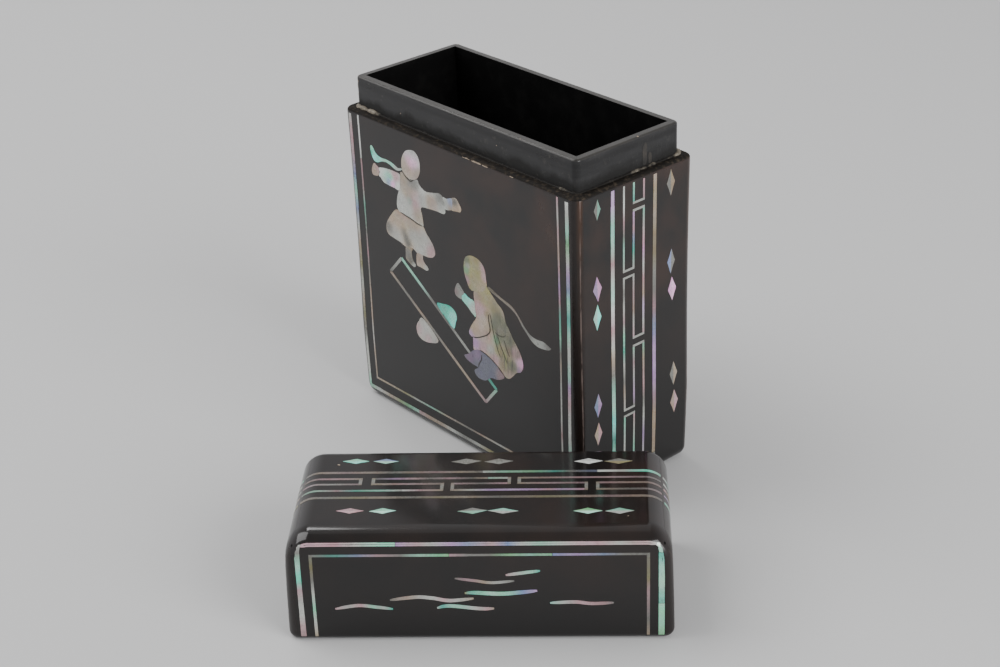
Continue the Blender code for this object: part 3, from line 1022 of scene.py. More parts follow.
sideBand = {"order": (-3.9, -0.9, 2.2), "barShare": 1.05, "wide": 1.0, "thin": 0.53,
            "borders": (-7.3, 5.65), "bars": ((71.6, 69.8), (56.0, 54.3), (38.6, 36.5), (21.0, 19.4)),
            "top": 76.4, "foot": 1.9,
            "tones": {-3.9: ("silver:2 white:2 rose:4 grey:2 mint:3 silver:3",
                             "silver:3 grey:3 silver:2 rose:4 mint:2 teal:3 silver:3 grey:2 beige:3 silver:3",
                             "mint:3 silver:2 grey:2"),
                      -0.9: ("mint:1 teal:3", "lilac:1 rose:2 blue:3 teal:2 silver:3",
                             "silver:3 rose:4 beige:3 silver:2 rose:2",
                             "mint:3 rose:4 silver:3 lilac:3 grey:2", "rose:3 mint:3 lilac:3"),
                      2.2: ("rose:2 rose:4",
                            "mint:4 silver:3 rose:1 pink:4 silver:1 rose:2 beige:2 lilac:1 silver:2 rose:3",
                            "mint:4 beige:3 rose:3 grey:2 silver:2 lilac:4 silver:3 grey:4")},
            "left": "lilac lilac mint:2 mint:1 rose:3 silver:1 glow:2 white:1 rose:1 silver beige:1 grey:1 "
                    "mint:3 mint:1 aqua:2 teal:5 mint:1 silver:1 silver:2",
            "right": "beige:2 tan beige:3 tan:2 olive:4 grey:1 grey:3 rose:5 blue:4 lilac:2 lilac:1 lilac:3 "
                     "rose:5 beige:3 tan tan:1 | grey:3 grey:4"}


def fretBreaks(s, lines, rows, barRow):
    # the middle line is broken at every pair of bars, and an outer one in turn; rows takes the bars themselves
    outerFirst, middle, outerNext = lines
    breaks = {line: [] for line in s["order"]}
    for index, (first, second) in enumerate(s["bars"]):
        outer = outerFirst if index % 2 == 0 else outerNext
        for line in (middle, outer):
            breaks[line].append((first, second))
        for place in (first, second):
            rows.append(barRow(place, *sorted((middle, outer))))
    return breaks


def sideBandRows(plain=False):
    s = sideBand
    rows = [((x, s["top"]), (x, s["foot"]), s["wide"], "" if plain else s[side], 8.0)
            for x, side in zip(s["borders"], ("left", "right"))]
    left, middle, right = s["order"]
    half = s["thin"] / 2
    breaks = fretBreaks(s, (right, middle, left), rows, lambda z, a, b: (
        (a - half, z), (b + half, z), s["thin"] * s["barShare"], "" if plain else "silver:4", 9.0))
    for column, gaps in breaks.items():
        z = s["top"]
        for index, (upper, lower) in enumerate(gaps + [(s["foot"] - half, 0.0)]):
            tones = "" if plain else s["tones"][column][index]
            rows.append(((column, z), (column, upper + half), s["thin"], tones, 9.0))
            z = lower - half
    return rows


lidBand = {"order": (5.25, 3.15, 0.65), "endReach": (24.2, 1.3), "endBars": (10.6, 8.4), "wide": 0.78,
           "thin": 0.62, "bar": 0.72, "borders": (7.75, -2.05),
           "bars": ((-25.6, -22.9), (-8.2, -6.0), (5.9, 8.0), (22.1, 24.5)), "reach": 39.0,
           "tones": {5.25: ("beige:5 rose:4 rose:3 beige:4",
                            "grey:4 lilac:4 rose:3 grey:4 rose:4 grey:5 beige:4 | mint:3 silver:2",
                            "beige:4 rose:4 rose:3 grey:4"),
                     3.15: ("rose:3 silver:4 rose:5", "beige:4 rose:4 beige:5", "rose:4 grey:4 rose:3",
                            "beige:4 rose:4 rose:5", "rose:4 beige:4 rose:5"),
                     0.65: ("silver:4 mint:3 rose:4 teal:3 mint:2 silver:2 | white:2 rose:3 beige:3",
                            "beige:4 silver:2 lilac:2 lilac:1 lilac:2 rose:2 lilac:3 rose:2",
                            "beige:4 grey:4 rose:4")},
           "back": "grey:3 beige:4 rose:5 beige:4 grey:4 beige:5 rose:5 beige:4 grey:4 | silver:2 mint:3 "
                   "green:3 teal:4 grey:4 blue:5 | white silver:1 aqua:1 mint:2",
           "front": "beige:4 grey:3 olive:4 beige:4 grey:4 olive:4 beige:4 grey:4 beige:5 olive:4 beige:4 "
                    "rose:5 beige:4 grey:4"}


def lidTopRows():
    s = lidBand
    end = s["reach"]
    rows = [((-end, y), (end, y), s["wide"], s[side], 7.0) for y, side in zip(s["borders"], ("back", "front"))]
    half, inset = s["thin"] / 2, s["bar"] / 2
    breaks = fretBreaks(s, s["order"], rows, lambda x, a, b: (
        (x, a - half), (x, b + half), s["bar"], "beige:4 silver:4 beige:4", 9.0))
    for row, gaps in breaks.items():
        x = -end
        for index, (first, second) in enumerate(gaps + [(end + inset, 0.0)]):
            rows.append(((x, row), (first - inset, row), s["thin"], s["tones"][row][index], 9.0))
            x = second + inset
    return rows


def lidEndRows(sign):
    # the band comes down over the end of the lid; sign is the way the end's own axis runs on the lid
    s = lidBand
    top, low = s["endReach"]
    upper, lower = s["endBars"]
    half = s["thin"] / 2
    back, middle, front = (sign * y for y in s["order"])
    rows = [((sign * y, top), (sign * y, low), s["wide"], "", 8.0) for y in s["borders"]]
    rows.append(((back, top), (back, low), s["thin"], "", 8.0))
    for y in (middle, front):
        rows += [((y, top), (y, upper), s["thin"], "", 8.0), ((y, lower), (y, low), s["thin"], "", 8.0)]
    a, b = sorted((middle, front))
    return rows + [((a - half, z), (b + half, z), s["thin"], "", 9.0) for z in (upper, lower)]


lidBorders = {"wide": 1.05, "thin": 0.62, "topWide": 1.32, "outerX": (-36.7, 37.2), "outerZ": 23.5,
              "innerX": (-34.0, 34.5), "innerZ": 20.7, "foot": 1.0, "rightShare": 1.1,
              "tones": ["rose:1 rose rose:2 silver:1 mint:1 mint | lilac:2 rose:2 silver:2 lilac:2 blue:3 "
                        "rose:2 blue:3 silver:2 mint:3 silver:2 rose:1 rose:1 silver:2 rose:2 silver:2",
                        "silver:2 grey:1 mint:1 aqua:2 rose:3 silver:2 silver:1 rose:2 rose:3",
                        "silver:1 mint:1 | teal:2 mint mint:1 teal:1 | mint mint:1 green:2",
                        "grey:4 teal:6 blue:5 rose:5 grey:4 mint:4 green:3 | rose:4 grey:3 grey:4 green:4 "
                        "mint:4 green:4 | blue:3 lilac:4 blue:5 grey:4 grey:6",
                        "grey:5 olive:6 grey:4 silver:2 mint:2 silver:1 beige:2",
                        "grey:5 olive:5 rose:5 grey:5 beige:5"]}


def lidBorderRows(plain=False):
    s = lidBorders
    (left, right), (innerLeft, innerRight) = s["outerX"], s["innerX"]
    high, innerHigh, foot, w, t = s["outerZ"], s["innerZ"], s["foot"], s["wide"], s["thin"]
    crown = high + s["topWide"] / 2
    ends = [((left + w / 2, high), (right - w / 2, high), s["topWide"], 7.0),
            ((left, crown), (left, foot), w, 5.0),
            ((right, crown), (right, foot), w * s["rightShare"], 5.0),
            ((innerLeft + t / 2, innerHigh), (innerRight - t / 2, innerHigh), t, 6.0),
            ((innerLeft, innerHigh + t / 2), (innerLeft, foot), t, 5.0),
            ((innerRight, innerHigh + t / 2), (innerRight, foot), t, 5.0)]
    return [(a, b, width, "" if plain else tones, leaf) for (a, b, width, leaf), tones in zip(ends, s["tones"])]


for name, rows, face, dim in (
        ("pictureBorders", bodyBorderRows(), bodyFaces["front"], 0.0),
        ("backBorders", bodyBorderRows(True), bodyFaces["back"], 0.0),
        ("rightBand", sideBandRows(), bodyFaces["right"], 0.0),
        ("leftBand", sideBandRows(True), bodyFaces["left"], 0.0),
        ("lidBand", lidTopRows(), lidFaces["top"], 0.28),
        ("lidRightBand", lidEndRows(1), lidFaces["right"], 0.0),
        ("lidLeftBand", lidEndRows(-1), lidFaces["left"], 0.0),
        ("lidFrontBorders", lidBorderRows(), lidFaces["front"], 0.0),
        ("lidBackBorders", lidBorderRows(True), lidFaces["back"], 0.0)):
    ruled(name, rows, face, dim)
print("bands and borders laid")

# lozenges: place on the face, tones of the two halves, and scale where it isn't 1
sideLozenges = [(-11.9, 73.4, "mint:5/grey:1", 0.82), (-11.95, 54.6, "pink:4/lilac:2"),
                (-12.05, 47.7, "aqua/glow:1"), (-12.2, 25.6, "lilac:3/blue:3"),
                (-12.25, 18.3, "rose:1/beige"), (10.6, 72.8, "tan/grey:1"), (11.0, 53.5, "grey/blue"),
                (11.4, 46.5, "pink/pink"), (12.0, 24.5, "beige:2/grey"), (12.3, 17.0, "rose:1/beige:1")]
leftTones = ["silver:2", "rose:1", "mint:2", "lilac:1", "beige:2", "blue:2", "teal", "silver:1", "rose",
             "grey:2"]
topLozenges = [(-27.4, 12.4, "aqua:1/mint", 0.92), (-20.9, 12.3, "glow:2/blue:1", 0.92),
               (-3.6, 12.0, "grey:1/grey"), (3.4, 11.9, "grey/grey:1"), (22.6, 11.7, "white/white:1"),
               (29.0, 11.6, "olive:1/grey"), (-26.7, -7.0, "rose:1/rose:2", 0.93),
               (-19.9, -7.1, "glow/mint", 0.93), (-1.3, -7.3, "mint:3/grey"),
               (5.0, -7.4, "silver:2/mint:1"), (22.4, -7.6, "glow/green"), (28.9, -7.7, "silver:2/mint:2")]
endLozenges = [(-7.1, 12.0, "silver:1"), (12.0, 12.0, "rose:1")]
studded("rightLozenges", sideLozenges, bodyFaces["right"], True)
studded("leftLozenges", [(spot[0], spot[1], t) for spot, t in zip(sideLozenges, leftTones)], bodyFaces["left"],
        True)
studded("lidLozenges", topLozenges, lidFaces["top"], False, "lidBreadth")
studded("lidRightLozenges", endLozenges, lidFaces["right"], True)
studded("lidLeftLozenges", [(-x, z, t) for x, z, t in endLozenges], lidFaces["left"], True)
print("lozenges laid")

# cloud slivers on the lid
cloudLines = [([(5.6, 15.9), (8.9, 16.4), (12.6, 16.9)], 0.74, "rose:3 silver:2 mint:2 teal:3"),
              ([(-4.8, 15.2), (-0.7, 14.6), (2.7, 14.1), (7.3, 14.5)], 0.66,
               "grey:5 rose:5 beige:4 silver:4 grey:4"),
              ([(-2.9, 11.6), (-0.8, 11.7), (4.3, 11.4), (8.4, 11.7), (11.9, 12.1)], 0.92,
               "olive:3 teal:2 mint:1 mint:2 blue:2 lilac:1"),
              ([(-18.3, 10.0), (-12.9, 10.7), (-9.4, 10.4), (-6.0, 9.8), (-1.1, 10.3)], 0.84,
               "grey:4 beige:3 silver:3 silver:1 rose:1 silver:2 beige:3"),
              ([(-29.7, 7.9), (-25.0, 8.7), (-21.2, 8.3), (-17.8, 7.8)], 0.76,
               "rose:3 silver:3 rose:2 mint:2 silver:3 teal:3"),
              ([(-8.7, 8.0), (-6.1, 8.5), (0.0, 7.8), (3.0, 7.8)], 0.84,
               "silver:3 teal:2 mint:1 silver:2 rose:2 beige:3"),
              ([(14.5, 9.1), (19.6, 9.3), (23.0, 8.9), (27.5, 9.1)], 0.78,
               "mint:2 silver:2 rose:2 rose:3 rose:4 grey:4")]
stroked("lidClouds", cloudLines, lidFaces["front"], nacre)
backClouds = [([(-x, z) for x, z in points], width, tones) for points, width, tones in cloudLines[2:6]]
stroked("lidBackClouds", backClouds, lidFaces["back"], nacre)

# the picture: two figures on a see-saw, a plank laid over a roll. Outlines in millimetres on the face
figureParts = {
    "trousers": ("beige", [
        (-21.5, 56.2), (-21.0, 56.0), (-20.4, 55.8), (-17.6, 55.5), (-14.0, 54.9), (-12.2, 54.7),
        (-11.3, 53.5), (-10.0, 52.2), (-9.0, 51.1), (-8.5, 50.0), (-8.4, 48.8), (-9.3, 47.8), (-10.9, 47.3),
        (-12.3, 47.2), (-13.7, 47.1), (-15.1, 47.0), (-16.6, 47.7), (-19.3, 47.3), (-21.1, 47.8),
        (-23.4, 48.1), (-25.8, 48.6), (-26.5, 50.1), (-25.9, 51.9), (-24.3, 54.0), (-22.6, 55.8)], [
        (-22.7, 54.4, 2.5, "beige:2"), (-25.2, 50.6, 1.1, "grey:5"), (-21.6, 52.4, 2.0, "beige:1"),
        (-22.6, 49.6, 1.8, "silver:2"), (-19.9, 51.2, 0.7, "grey:5"), (-19.2, 49.9, 0.8, "grey:6"),
        (-18.4, 48.6, 0.8, "grey:6"), (-15.9, 51.4, 1.6, "silver:3"), (-11.8, 50.6, 1.8, "silver:2"),
        (-9.9, 49.4, 1.4, "rose:2"), (-16.5, 53.8, 1.6, "beige:2"), (-14.0, 48.6, 1.5, "silver:2")]),
    "rightFoot": ("beige", [
        (-15.1, 47.0), (-13.1, 47.1), (-13.0, 46.0), (-12.4, 45.2), (-11.4, 44.5), (-11.2, 43.9),
        (-12.1, 43.5), (-14.0, 43.7), (-15.3, 43.8), (-15.5, 45.2)], [
        (-14.0, 46.4, 1.2, "beige:3"), (-13.4, 44.7, 0.9, "beige:1"), (-12.0, 44.2, 0.8, "silver:2")]),
    "leftFoot": ("tan", [
        (-19.2, 47.3), (-16.8, 47.6), (-17.2, 46.6), (-17.1, 45.5), (-16.6, 44.3), (-15.9, 43.6),
        (-16.1, 43.1), (-16.9, 42.9), (-18.3, 43.4), (-19.5, 44.2), (-19.5, 45.5)], [
        (-18.5, 45.6, 1.0, "grey:3"), (-17.5, 44.3, 0.7, "grey:6"), (-16.4, 43.2, 0.7, "silver:3")]),
    "tunic": ("silver", [
        (-19.5, 66.4), (-19.8, 64.4), (-20.5, 61.7), (-21.4, 59.5), (-21.7, 57.2), (-21.1, 56.1),
        (-20.4, 55.9), (-17.6, 55.6), (-13.9, 55.0), (-12.2, 54.8), (-12.3, 57.2), (-12.6, 59.5),
        (-9.9, 60.1), (-6.7, 60.4), (-4.3, 60.5), (-3.7, 61.4), (-3.9, 61.9), (-4.1, 63.2), (-4.4, 64.7),
        (-5.2, 65.1), (-5.9, 65.2), (-8.7, 64.5), (-10.5, 64.2), (-11.8, 64.6), (-12.9, 65.4), (-13.5, 66.3),
        (-15.2, 65.6), (-17.0, 65.7), (-18.3, 66.4)], [
        (-18.8, 65.0, 1.5, "beige:3"), (-15.5, 65.0, 1.5, "grey:2"), (-17.0, 62.0, 1.8, "beige:2"),
        (-20.2, 58.9, 1.6, "silver:1"), (-17.7, 58.3, 1.5, "silver:1"), (-16.6, 60.0, 0.8, "mint:5"),
        (-14.7, 60.6, 1.8, "rose:2"), (-12.4, 61.0, 1.4, "silver:2"), (-8.6, 61.6, 1.5, "beige:2"),
        (-5.2, 63.8, 1.3, "grey:2"), (-5.0, 62.2, 1.0, "silver:3"), (-13.7, 57.2, 1.6, "beige:2")]),
    "cuff": ("silver", [
        (-3.9, 61.9), (-1.5, 62.4), (-1.1, 63.9), (-1.3, 65.3), (-3.1, 64.7), (-4.4, 64.7), (-4.0, 63.3)], [
        (-1.7, 64.2, 0.8, "blue:2"), (-1.9, 62.8, 0.7, "beige:3"), (-3.5, 63.3, 0.9, "silver:3")]),
    "hand": ("beige", [
        (-1.5, 62.4), (0.5, 62.6), (1.6, 62.8), (2.0, 63.7), (1.3, 64.8), (0.3, 65.8), (-1.2, 65.4),
        (-1.1, 63.9)], [
        (-0.2, 64.6, 0.7, "grey:6"), (0.6, 63.6, 0.6, "beige:4"), (0.2, 62.9, 0.6, "beige:1"),
        (1.4, 63.8, 0.6, "beige")]),
    "sleeve": ("silver", [
        (-27.8, 65.1), (-26.0, 65.6), (-23.2, 65.9), (-21.1, 65.9), (-19.9, 65.7), (-19.9, 64.1),
        (-20.5, 61.6), (-22.2, 61.6), (-24.5, 61.7), (-26.2, 61.9), (-27.3, 62.8), (-27.9, 63.1),
        (-27.5, 64.2)], [
        (-26.6, 64.6, 1.3, "white:1"), (-25.4, 63.9, 1.0, "mint"), (-24.3, 62.9, 0.7, "blue"),
        (-23.3, 63.9, 0.7, "mint:1"), (-22.6, 62.7, 0.7, "pink"), (-21.6, 64.6, 1.0, "rose"),
        (-20.9, 62.6, 0.8, "white")]),
    "fist": ("beige", [
        (-29.6, 65.8), (-28.6, 65.5), (-27.9, 65.1), (-27.7, 64.2), (-28.1, 63.1), (-29.2, 62.7),
        (-30.3, 62.8), (-30.5, 64.1)], [
        (-29.4, 63.8, 1.0, "beige:2"), (-28.4, 64.9, 0.8, "rose:3")]),
    "head": ("silver", [
        (-15.7, 73.1), (-13.8, 73.2), (-12.5, 72.0), (-12.1, 70.0), (-12.5, 68.0), (-13.5, 66.6),
        (-15.1, 65.8), (-17.0, 65.8), (-18.5, 66.6), (-19.0, 68.1), (-18.7, 70.2), (-17.4, 72.2)], [
        (-15.2, 70.4, 1.4, "pink"), (-17.2, 68.2, 1.8, "beige:1"), (-15.0, 72.2, 1.5, "silver:1"),
        (-13.6, 67.4, 1.4, "beige:2")]),
    "ribbon": ("mint", [
        (-30.2, 70.2), (-29.5, 69.8), (-28.6, 68.6), (-26.9, 68.0), (-25.0, 68.1), (-23.4, 68.0),
        (-21.9, 67.7), (-20.5, 67.2), (-19.1, 67.5), (-19.2, 67.0), (-20.7, 66.5), (-22.0, 66.7),
        (-23.4, 67.2), (-25.0, 67.4), (-26.5, 67.1), (-28.2, 66.4), (-29.5, 66.7), (-30.3, 68.2),
        (-30.5, 69.5)], [
        (-30.2, 68.6, 0.6, "teal"), (-28.0, 67.4, 1.6, "aqua"), (-24.0, 67.6, 2.0, "mint"),
        (-20.6, 66.8, 1.2, "silver:1")]),
    "coat": ("beige", [
        (5.3, 44.2), (7.7, 44.8), (9.7, 46.7), (10.8, 45.8), (12.0, 44.8), (13.2, 43.8), (14.5, 43.0),
        (15.3, 42.0), (15.7, 40.6), (16.1, 39.5), (17.0, 38.5), (18.0, 36.9), (19.2, 35.5), (20.4, 34.0),
        (21.3, 32.1), (21.5, 30.5), (20.7, 28.9), (19.2, 28.1), (17.9, 26.7), (16.6, 25.6), (15.2, 25.5),
        (14.2, 26.2), (13.0, 27.2), (11.0, 28.2), (9.0, 28.9), (6.9, 29.3), (4.4, 28.5), (4.2, 30.4),
        (4.1, 31.7), (3.5, 31.8), (2.8, 32.6), (3.4, 34.1), (4.5, 35.8), (5.6, 37.5), (5.3, 40.0),
        (5.1, 42.4)], [
        (9.0, 44.6, 2.0, "olive"), (7.0, 43.2, 1.2, "tan"), (6.6, 40.2, 1.6, "rose:2"),
        (8.6, 37.2, 1.5, "beige:1"), (9.4, 39.6, 0.8, "tan:1"), (5.1, 33.9, 1.5, "beige:1"),
        (3.4, 32.3, 0.9, "lilac:2"), (12.2, 42.6, 1.3, "olive:2", 0.1), (13.4, 39.9, 1.5, "moss:2", 0.2),
        (12.0, 37.6, 1.3, "moss:3", 0.25), (15.6, 38.4, 1.3, "moss:3", 0.3),
        (17.2, 35.4, 1.4, "moss:4", 0.4), (14.2, 35.4, 1.2, "moss:2", 0.4),
        (12.4, 34.0, 0.9, "green:5", 0.4), (5.3, 30.6, 1.1, "lilac:2"), (7.4, 30.4, 1.1, "rose:1", 0.2),
        (10.0, 33.4, 1.3, "beige:1", 0.3), (10.4, 31.0, 1.0, "silver:3", 0.3),
        (13.2, 31.8, 1.2, "olive:1", 0.5), (15.0, 30.4, 1.2, "olive:3", 0.5),
        (16.6, 32.8, 1.1, "tan:5", 0.4), (19.0, 33.4, 1.2, "rose:4", 0.3), (20.9, 30.9, 1.0, "pink:2", 0.0),
        (20.2, 29.0, 0.6, "lilac:5"), (17.6, 29.2, 1.2, "moss:3", 0.4), (14.8, 28.2, 1.1, "olive:3", 0.3),
        (11.8, 28.8, 1.0, "rose:2", 0.2), (15.9, 26.1, 1.2, "beige:3", 0.2)]),
    "coiffure": ("olive", [
        (3.4, 52.5), (5.1, 53.0), (7.1, 52.8), (8.5, 52.0), (9.3, 50.7), (9.6, 48.6), (9.7, 46.7),
        (7.7, 44.7), (5.3, 44.2), (4.4, 44.0), (3.5, 44.5), (2.8, 45.8), (2.1, 47.5), (1.9, 49.5),
        (2.4, 51.5)], [
        (3.2, 51.2, 0.8, "moss:1"), (2.9, 48.6, 0.7, "green:4"), (3.4, 50.0, 0.6, "silver:3"),
        (6.2, 50.6, 1.6, "olive"), (2.6, 46.3, 0.8, "rose:3"), (5.4, 47.8, 1.5, "olive"),
        (8.6, 51.0, 0.9, "rose:2"), (9.1, 48.9, 0.9, "rose:1"), (7.8, 46.4, 1.3, "beige:2")]),
    "arm": ("mint", [
        (1.7, 42.3), (3.1, 41.7), (5.0, 41.4), (5.3, 40.0), (5.5, 37.6), (4.3, 38.0), (2.5, 39.3),
        (0.8, 40.3), (0.7, 41.3)], [
        (2.6, 41.1, 1.4, "aqua:1"), (4.4, 39.6, 1.2, "silver")]),
    "palm": ("grey", [
        (-0.5, 44.2), (0.5, 43.6), (1.6, 42.3), (0.7, 41.3), (0.7, 40.4), (-1.2, 40.6), (-1.8, 41.7),
        (-1.3, 43.2)], [
        (-0.4, 42.9, 1.0, "grey"), (-1.2, 42.0, 0.6, "rose:6"), (1.0, 41.3, 0.9, "silver:5")]),
    "braid": ("grey", [
        (10.2, 47.0), (11.3, 46.9), (13.4, 46.1), (15.9, 45.4), (18.0, 44.9), (19.6, 43.9), (21.2, 42.3),
        (22.8, 40.7), (24.4, 39.7), (26.1, 39.4), (28.5, 39.6), (30.2, 39.1), (31.0, 38.8), (30.1, 38.1),
        (28.0, 37.7), (26.3, 37.7), (24.7, 38.3), (23.2, 39.5), (21.5, 41.0), (20.0, 42.8), (18.3, 43.9),
        (16.3, 44.6), (13.7, 45.3), (11.1, 46.0), (10.0, 46.4)], [
        (11.7, 46.8, 1.5, "tan:7"), (15.7, 45.2, 2.0, "beige:6"), (19.7, 43.2, 2.0, "beige:6"),
        (22.8, 40.4, 1.8, "grey:3"), (27.0, 38.6, 1.8, "silver:4"), (30.4, 38.8, 1.2, "grey:4")]),
    "rollTop": ("teal", [
        (-8.6, 35.7), (-6.3, 36.7), (-4.0, 37.0), (-2.2, 36.3), (-1.5, 34.9), (-2.0, 33.3), (-3.2, 31.5)], [
        (-5.8, 35.4, 1.8, "teal:1"), (-3.3, 33.9, 1.6, "aqua:1")]),
    "rollLow": ("beige", [
        (-14.2, 29.9), (-15.9, 28.7), (-16.9, 26.9), (-16.6, 25.0), (-15.0, 24.0), (-12.1, 24.2),
        (-8.8, 26.0)], [
        (-13.6, 26.9, 2.4, "silver:1"), (-15.6, 26.6, 1.2, "rose:1"), (-12.4, 25.2, 1.2, "rose:1"),
        (-11.0, 25.6, 1.2, "silver:3")]),
    "hem": ("slate", [
        (0.8, 25.8), (2.3, 26.7), (4.0, 28.2), (5.9, 29.1), (8.0, 28.9), (10.1, 28.3), (12.2, 27.5),
        (13.5, 26.4), (14.9, 25.5), (14.3, 24.6), (12.5, 23.7), (10.3, 23.3), (8.5, 22.0), (7.4, 21.6),
        (5.6, 21.6), (4.4, 22.5), (4.5, 23.4), (5.7, 24.3), (3.7, 24.5), (1.6, 25.0)], [
        (2.6, 26.1, 1.1, "lilac:7"), (5.8, 27.6, 1.0, "lilac:6"), (7.8, 26.1, 1.6, "slate"),
        (10.4, 25.1, 1.4, "slate"), (13.6, 25.1, 1.2, "rose:6"), (6.4, 22.8, 1.0, "slate")])}
figureLayers = [(("trousers", "coat", "rollTop", "rollLow", "braid", "arm", "fist", "hand"), 0.040 * mm),
                (("tunic", "rightFoot", "leftFoot", "palm"), 0.046 * mm),
                (("cuff", "sleeve", "coiffure"), 0.050 * mm), (("head", "ribbon"), 0.054 * mm)]


def figureShape(part):
    tone, outline, spots = figureParts[part]
    return smoothLine(outline, 5, True), tone, spots


for index, (parts, lift) in enumerate(figureLayers):
    cutOut(f"pictureFigures{index + 1}", [figureShape(part) for part in parts], bodyFaces["front"], nacre,
           Lift=lift)
cutOut("coatHem", [figureShape("hem")], bodyFaces["front"], nacre, Lift=0.06 * mm)

plank = {"corners": [(-21.3, 43.6), (12.0, 20.8), (7.9, 15.9), (-25.9, 38.6)], "width": 0.8,
         "tones": ["mint:1 mint:2 grey:3 grey:4 silver:4 grey:5 teal:3", "mint:3 rose:3",
                   "rose:4 beige:3 beige:4 grey:3 beige:4 grey:4 beige:4", "grey:3 silver:3"]}
corners = plank["corners"]
plankRows = [(corners[i], corners[(i + 1) % 4], plank["width"], plank["tones"][i], 6.0) for i in range(4)]
ruled("picturePlank", plankRows, bodyFaces["front"])

engraved = [([(-18.6, 66.7), (-17.7, 65.9), (-16.5, 65.3), (-15.8, 65.2), (-15.1, 65.6)], 0.32),
            ([(-20.3, 55.9), (-18.5, 55.6), (-16.7, 55.4), (-14.4, 54.9), (-12.4, 54.8)], 0.32),
            ([(3.6, 31.7), (5.6, 32.2), (7.4, 33.1), (9.2, 34.2), (10.3, 35.5), (10.3, 36.8), (10.0, 38.2),
              (10.0, 39.8)], 0.28),
            ([(6.7, 29.2), (8.9, 28.9), (11.0, 28.1), (13.0, 27.1), (14.3, 26.1), (15.2, 25.4)], 0.24),
            ([(7.1, 28.2), (6.9, 26.8), (6.1, 25.5), (5.8, 24.5)], 0.26),
            ([(10.5, 40.3), (11.0, 38.2), (11.7, 35.2), (12.6, 32.3), (13.7, 30.1)], 0.15),
            ([(12.2, 36.0), (13.4, 35.6), (14.8, 35.8), (15.8, 36.5)], 0.16),
            ([(13.0, 35.2), (14.0, 33.0), (15.2, 31.0), (16.0, 29.4)], 0.15),
            ([(15.2, 35.0), (15.9, 33.2), (16.9, 31.4)], 0.12)]
stroked("engravedLines", [(points, width, "grey") for points, width in engraved], bodyFaces["front"], cutLine,
        Lift=0.085 * mm)
print("picture laid")


# wear: chips, specks and old glue, with a painted highlight at the shoulder's back right corner

def blob(x, y, reach, squash):
    # an irregular patch
    turns = 9
    ring = [(x + reach * dice.uniform(0.6, 1.1) * math.cos(k * math.tau / turns),
             y + reach * squash * dice.uniform(0.6, 1.1) * math.sin(k * math.tau / turns)) for k in range(turns)]
    return smoothLine(ring, 3, True)


def patched(name, spots, face):
    # a spot is (x, y, reach, squash)
    shapes = [(blob(*spot), "tan", [(*spot[:2], 1.0, "tan")]) for spot in spots]
    cutOut(name, shapes, face, bareGround, spacing=0.4, Lift=0.05 * mm)


lipChips = [([(3.3, 76.85), (4.6, 76.9), (5.7, 76.85)], 0.2, "beige"),
            ([(6.4, 76.85), (8.1, 76.9), (9.6, 76.85)], 0.28, "beige"),
            ([(10.0, 76.85), (11.0, 76.8), (11.8, 76.85)], 0.24, "beige"),
            ([(19.0, 76.85), (19.4, 76.9), (20.2, 76.85)], 0.22, "beige")]
drips = [([(4.6, 78.0), (4.8, 79.4), (4.7, 81.4), (4.9, 83.2)], 1.3, "tan"),
         ([(6.3, 78.0), (6.4, 79.2), (6.2, 80.6)], 1.0, "tan")]
stroked("lipChips", lipChips, bodyFaces["front"], bareGround, Lift=0.05 * mm)
patched("neckScuffs", [(-37.1, 82.6, 0.30, 2.0), (-36.6, 83.9, 0.22, 1.2), (-36.9, 80.6, 0.2, 1.6),
                       (12.5, 81.5, 0.12, 1.0), (-21.0, 80.0, 0.12, 1.0)], neckFaces["front"])
patched("rimChips", [(-37.2, 15.2, 0.34, 0.8), (-36.3, 15.35, 0.26, 0.5), (-37.3, -14.9, 0.24, 0.8),
                     (20.0, -15.45, 0.2, 0.5), (37.3, 3.0, 0.2, 1.6)], neckFaces["top"])
patched("lidChips", [(-31.0, 11.0, 0.34, 0.6), (30.6, -9.6, 0.12, 1.0)], lidFaces["top"])
stroked("glueDrips", drips, neckFaces["right"], driedDrip, Lift=0.03 * mm)

# each lump is (x, y, reach, how much thicker, how pale). The pale lumps at the shoulder's back right corner, near
# x 37, y 15.5, are a painted highlight; elsewhere the paleness is the glue's own colour
glue = {"offset": 0.12, "height": 77.46, "cornerRadius": 1.6, "thin": 0.26,
        "lumps": [(-35.0, -15.9, 3.2, 0.5, 1.1), (-30.5, -15.9, 2.4, 0.3, 0.65),
                  (-12.0, -15.9, 3.0, 0.16, 0.1), (10.0, -15.9, 6.0, 0.08, 0.0),
                  (37.9, -6.0, 2.4, 0.14, 0.35), (37.9, 2.0, 2.6, 0.24, 0.5), (37.9, 7.0, 2.0, 0.22, 0.45),
                  (37.9, 12.0, 1.6, 0.1, 0.3), (37.0, 15.9, 1.6, 0.2, 0.9), (34.0, -15.9, 2.4, 0.14, 0.4),
                  (37.4, 15.4, 1.5, 0.45, 0.8), (-20.0, 15.9, 6.0, 0.15, 0.3)]}


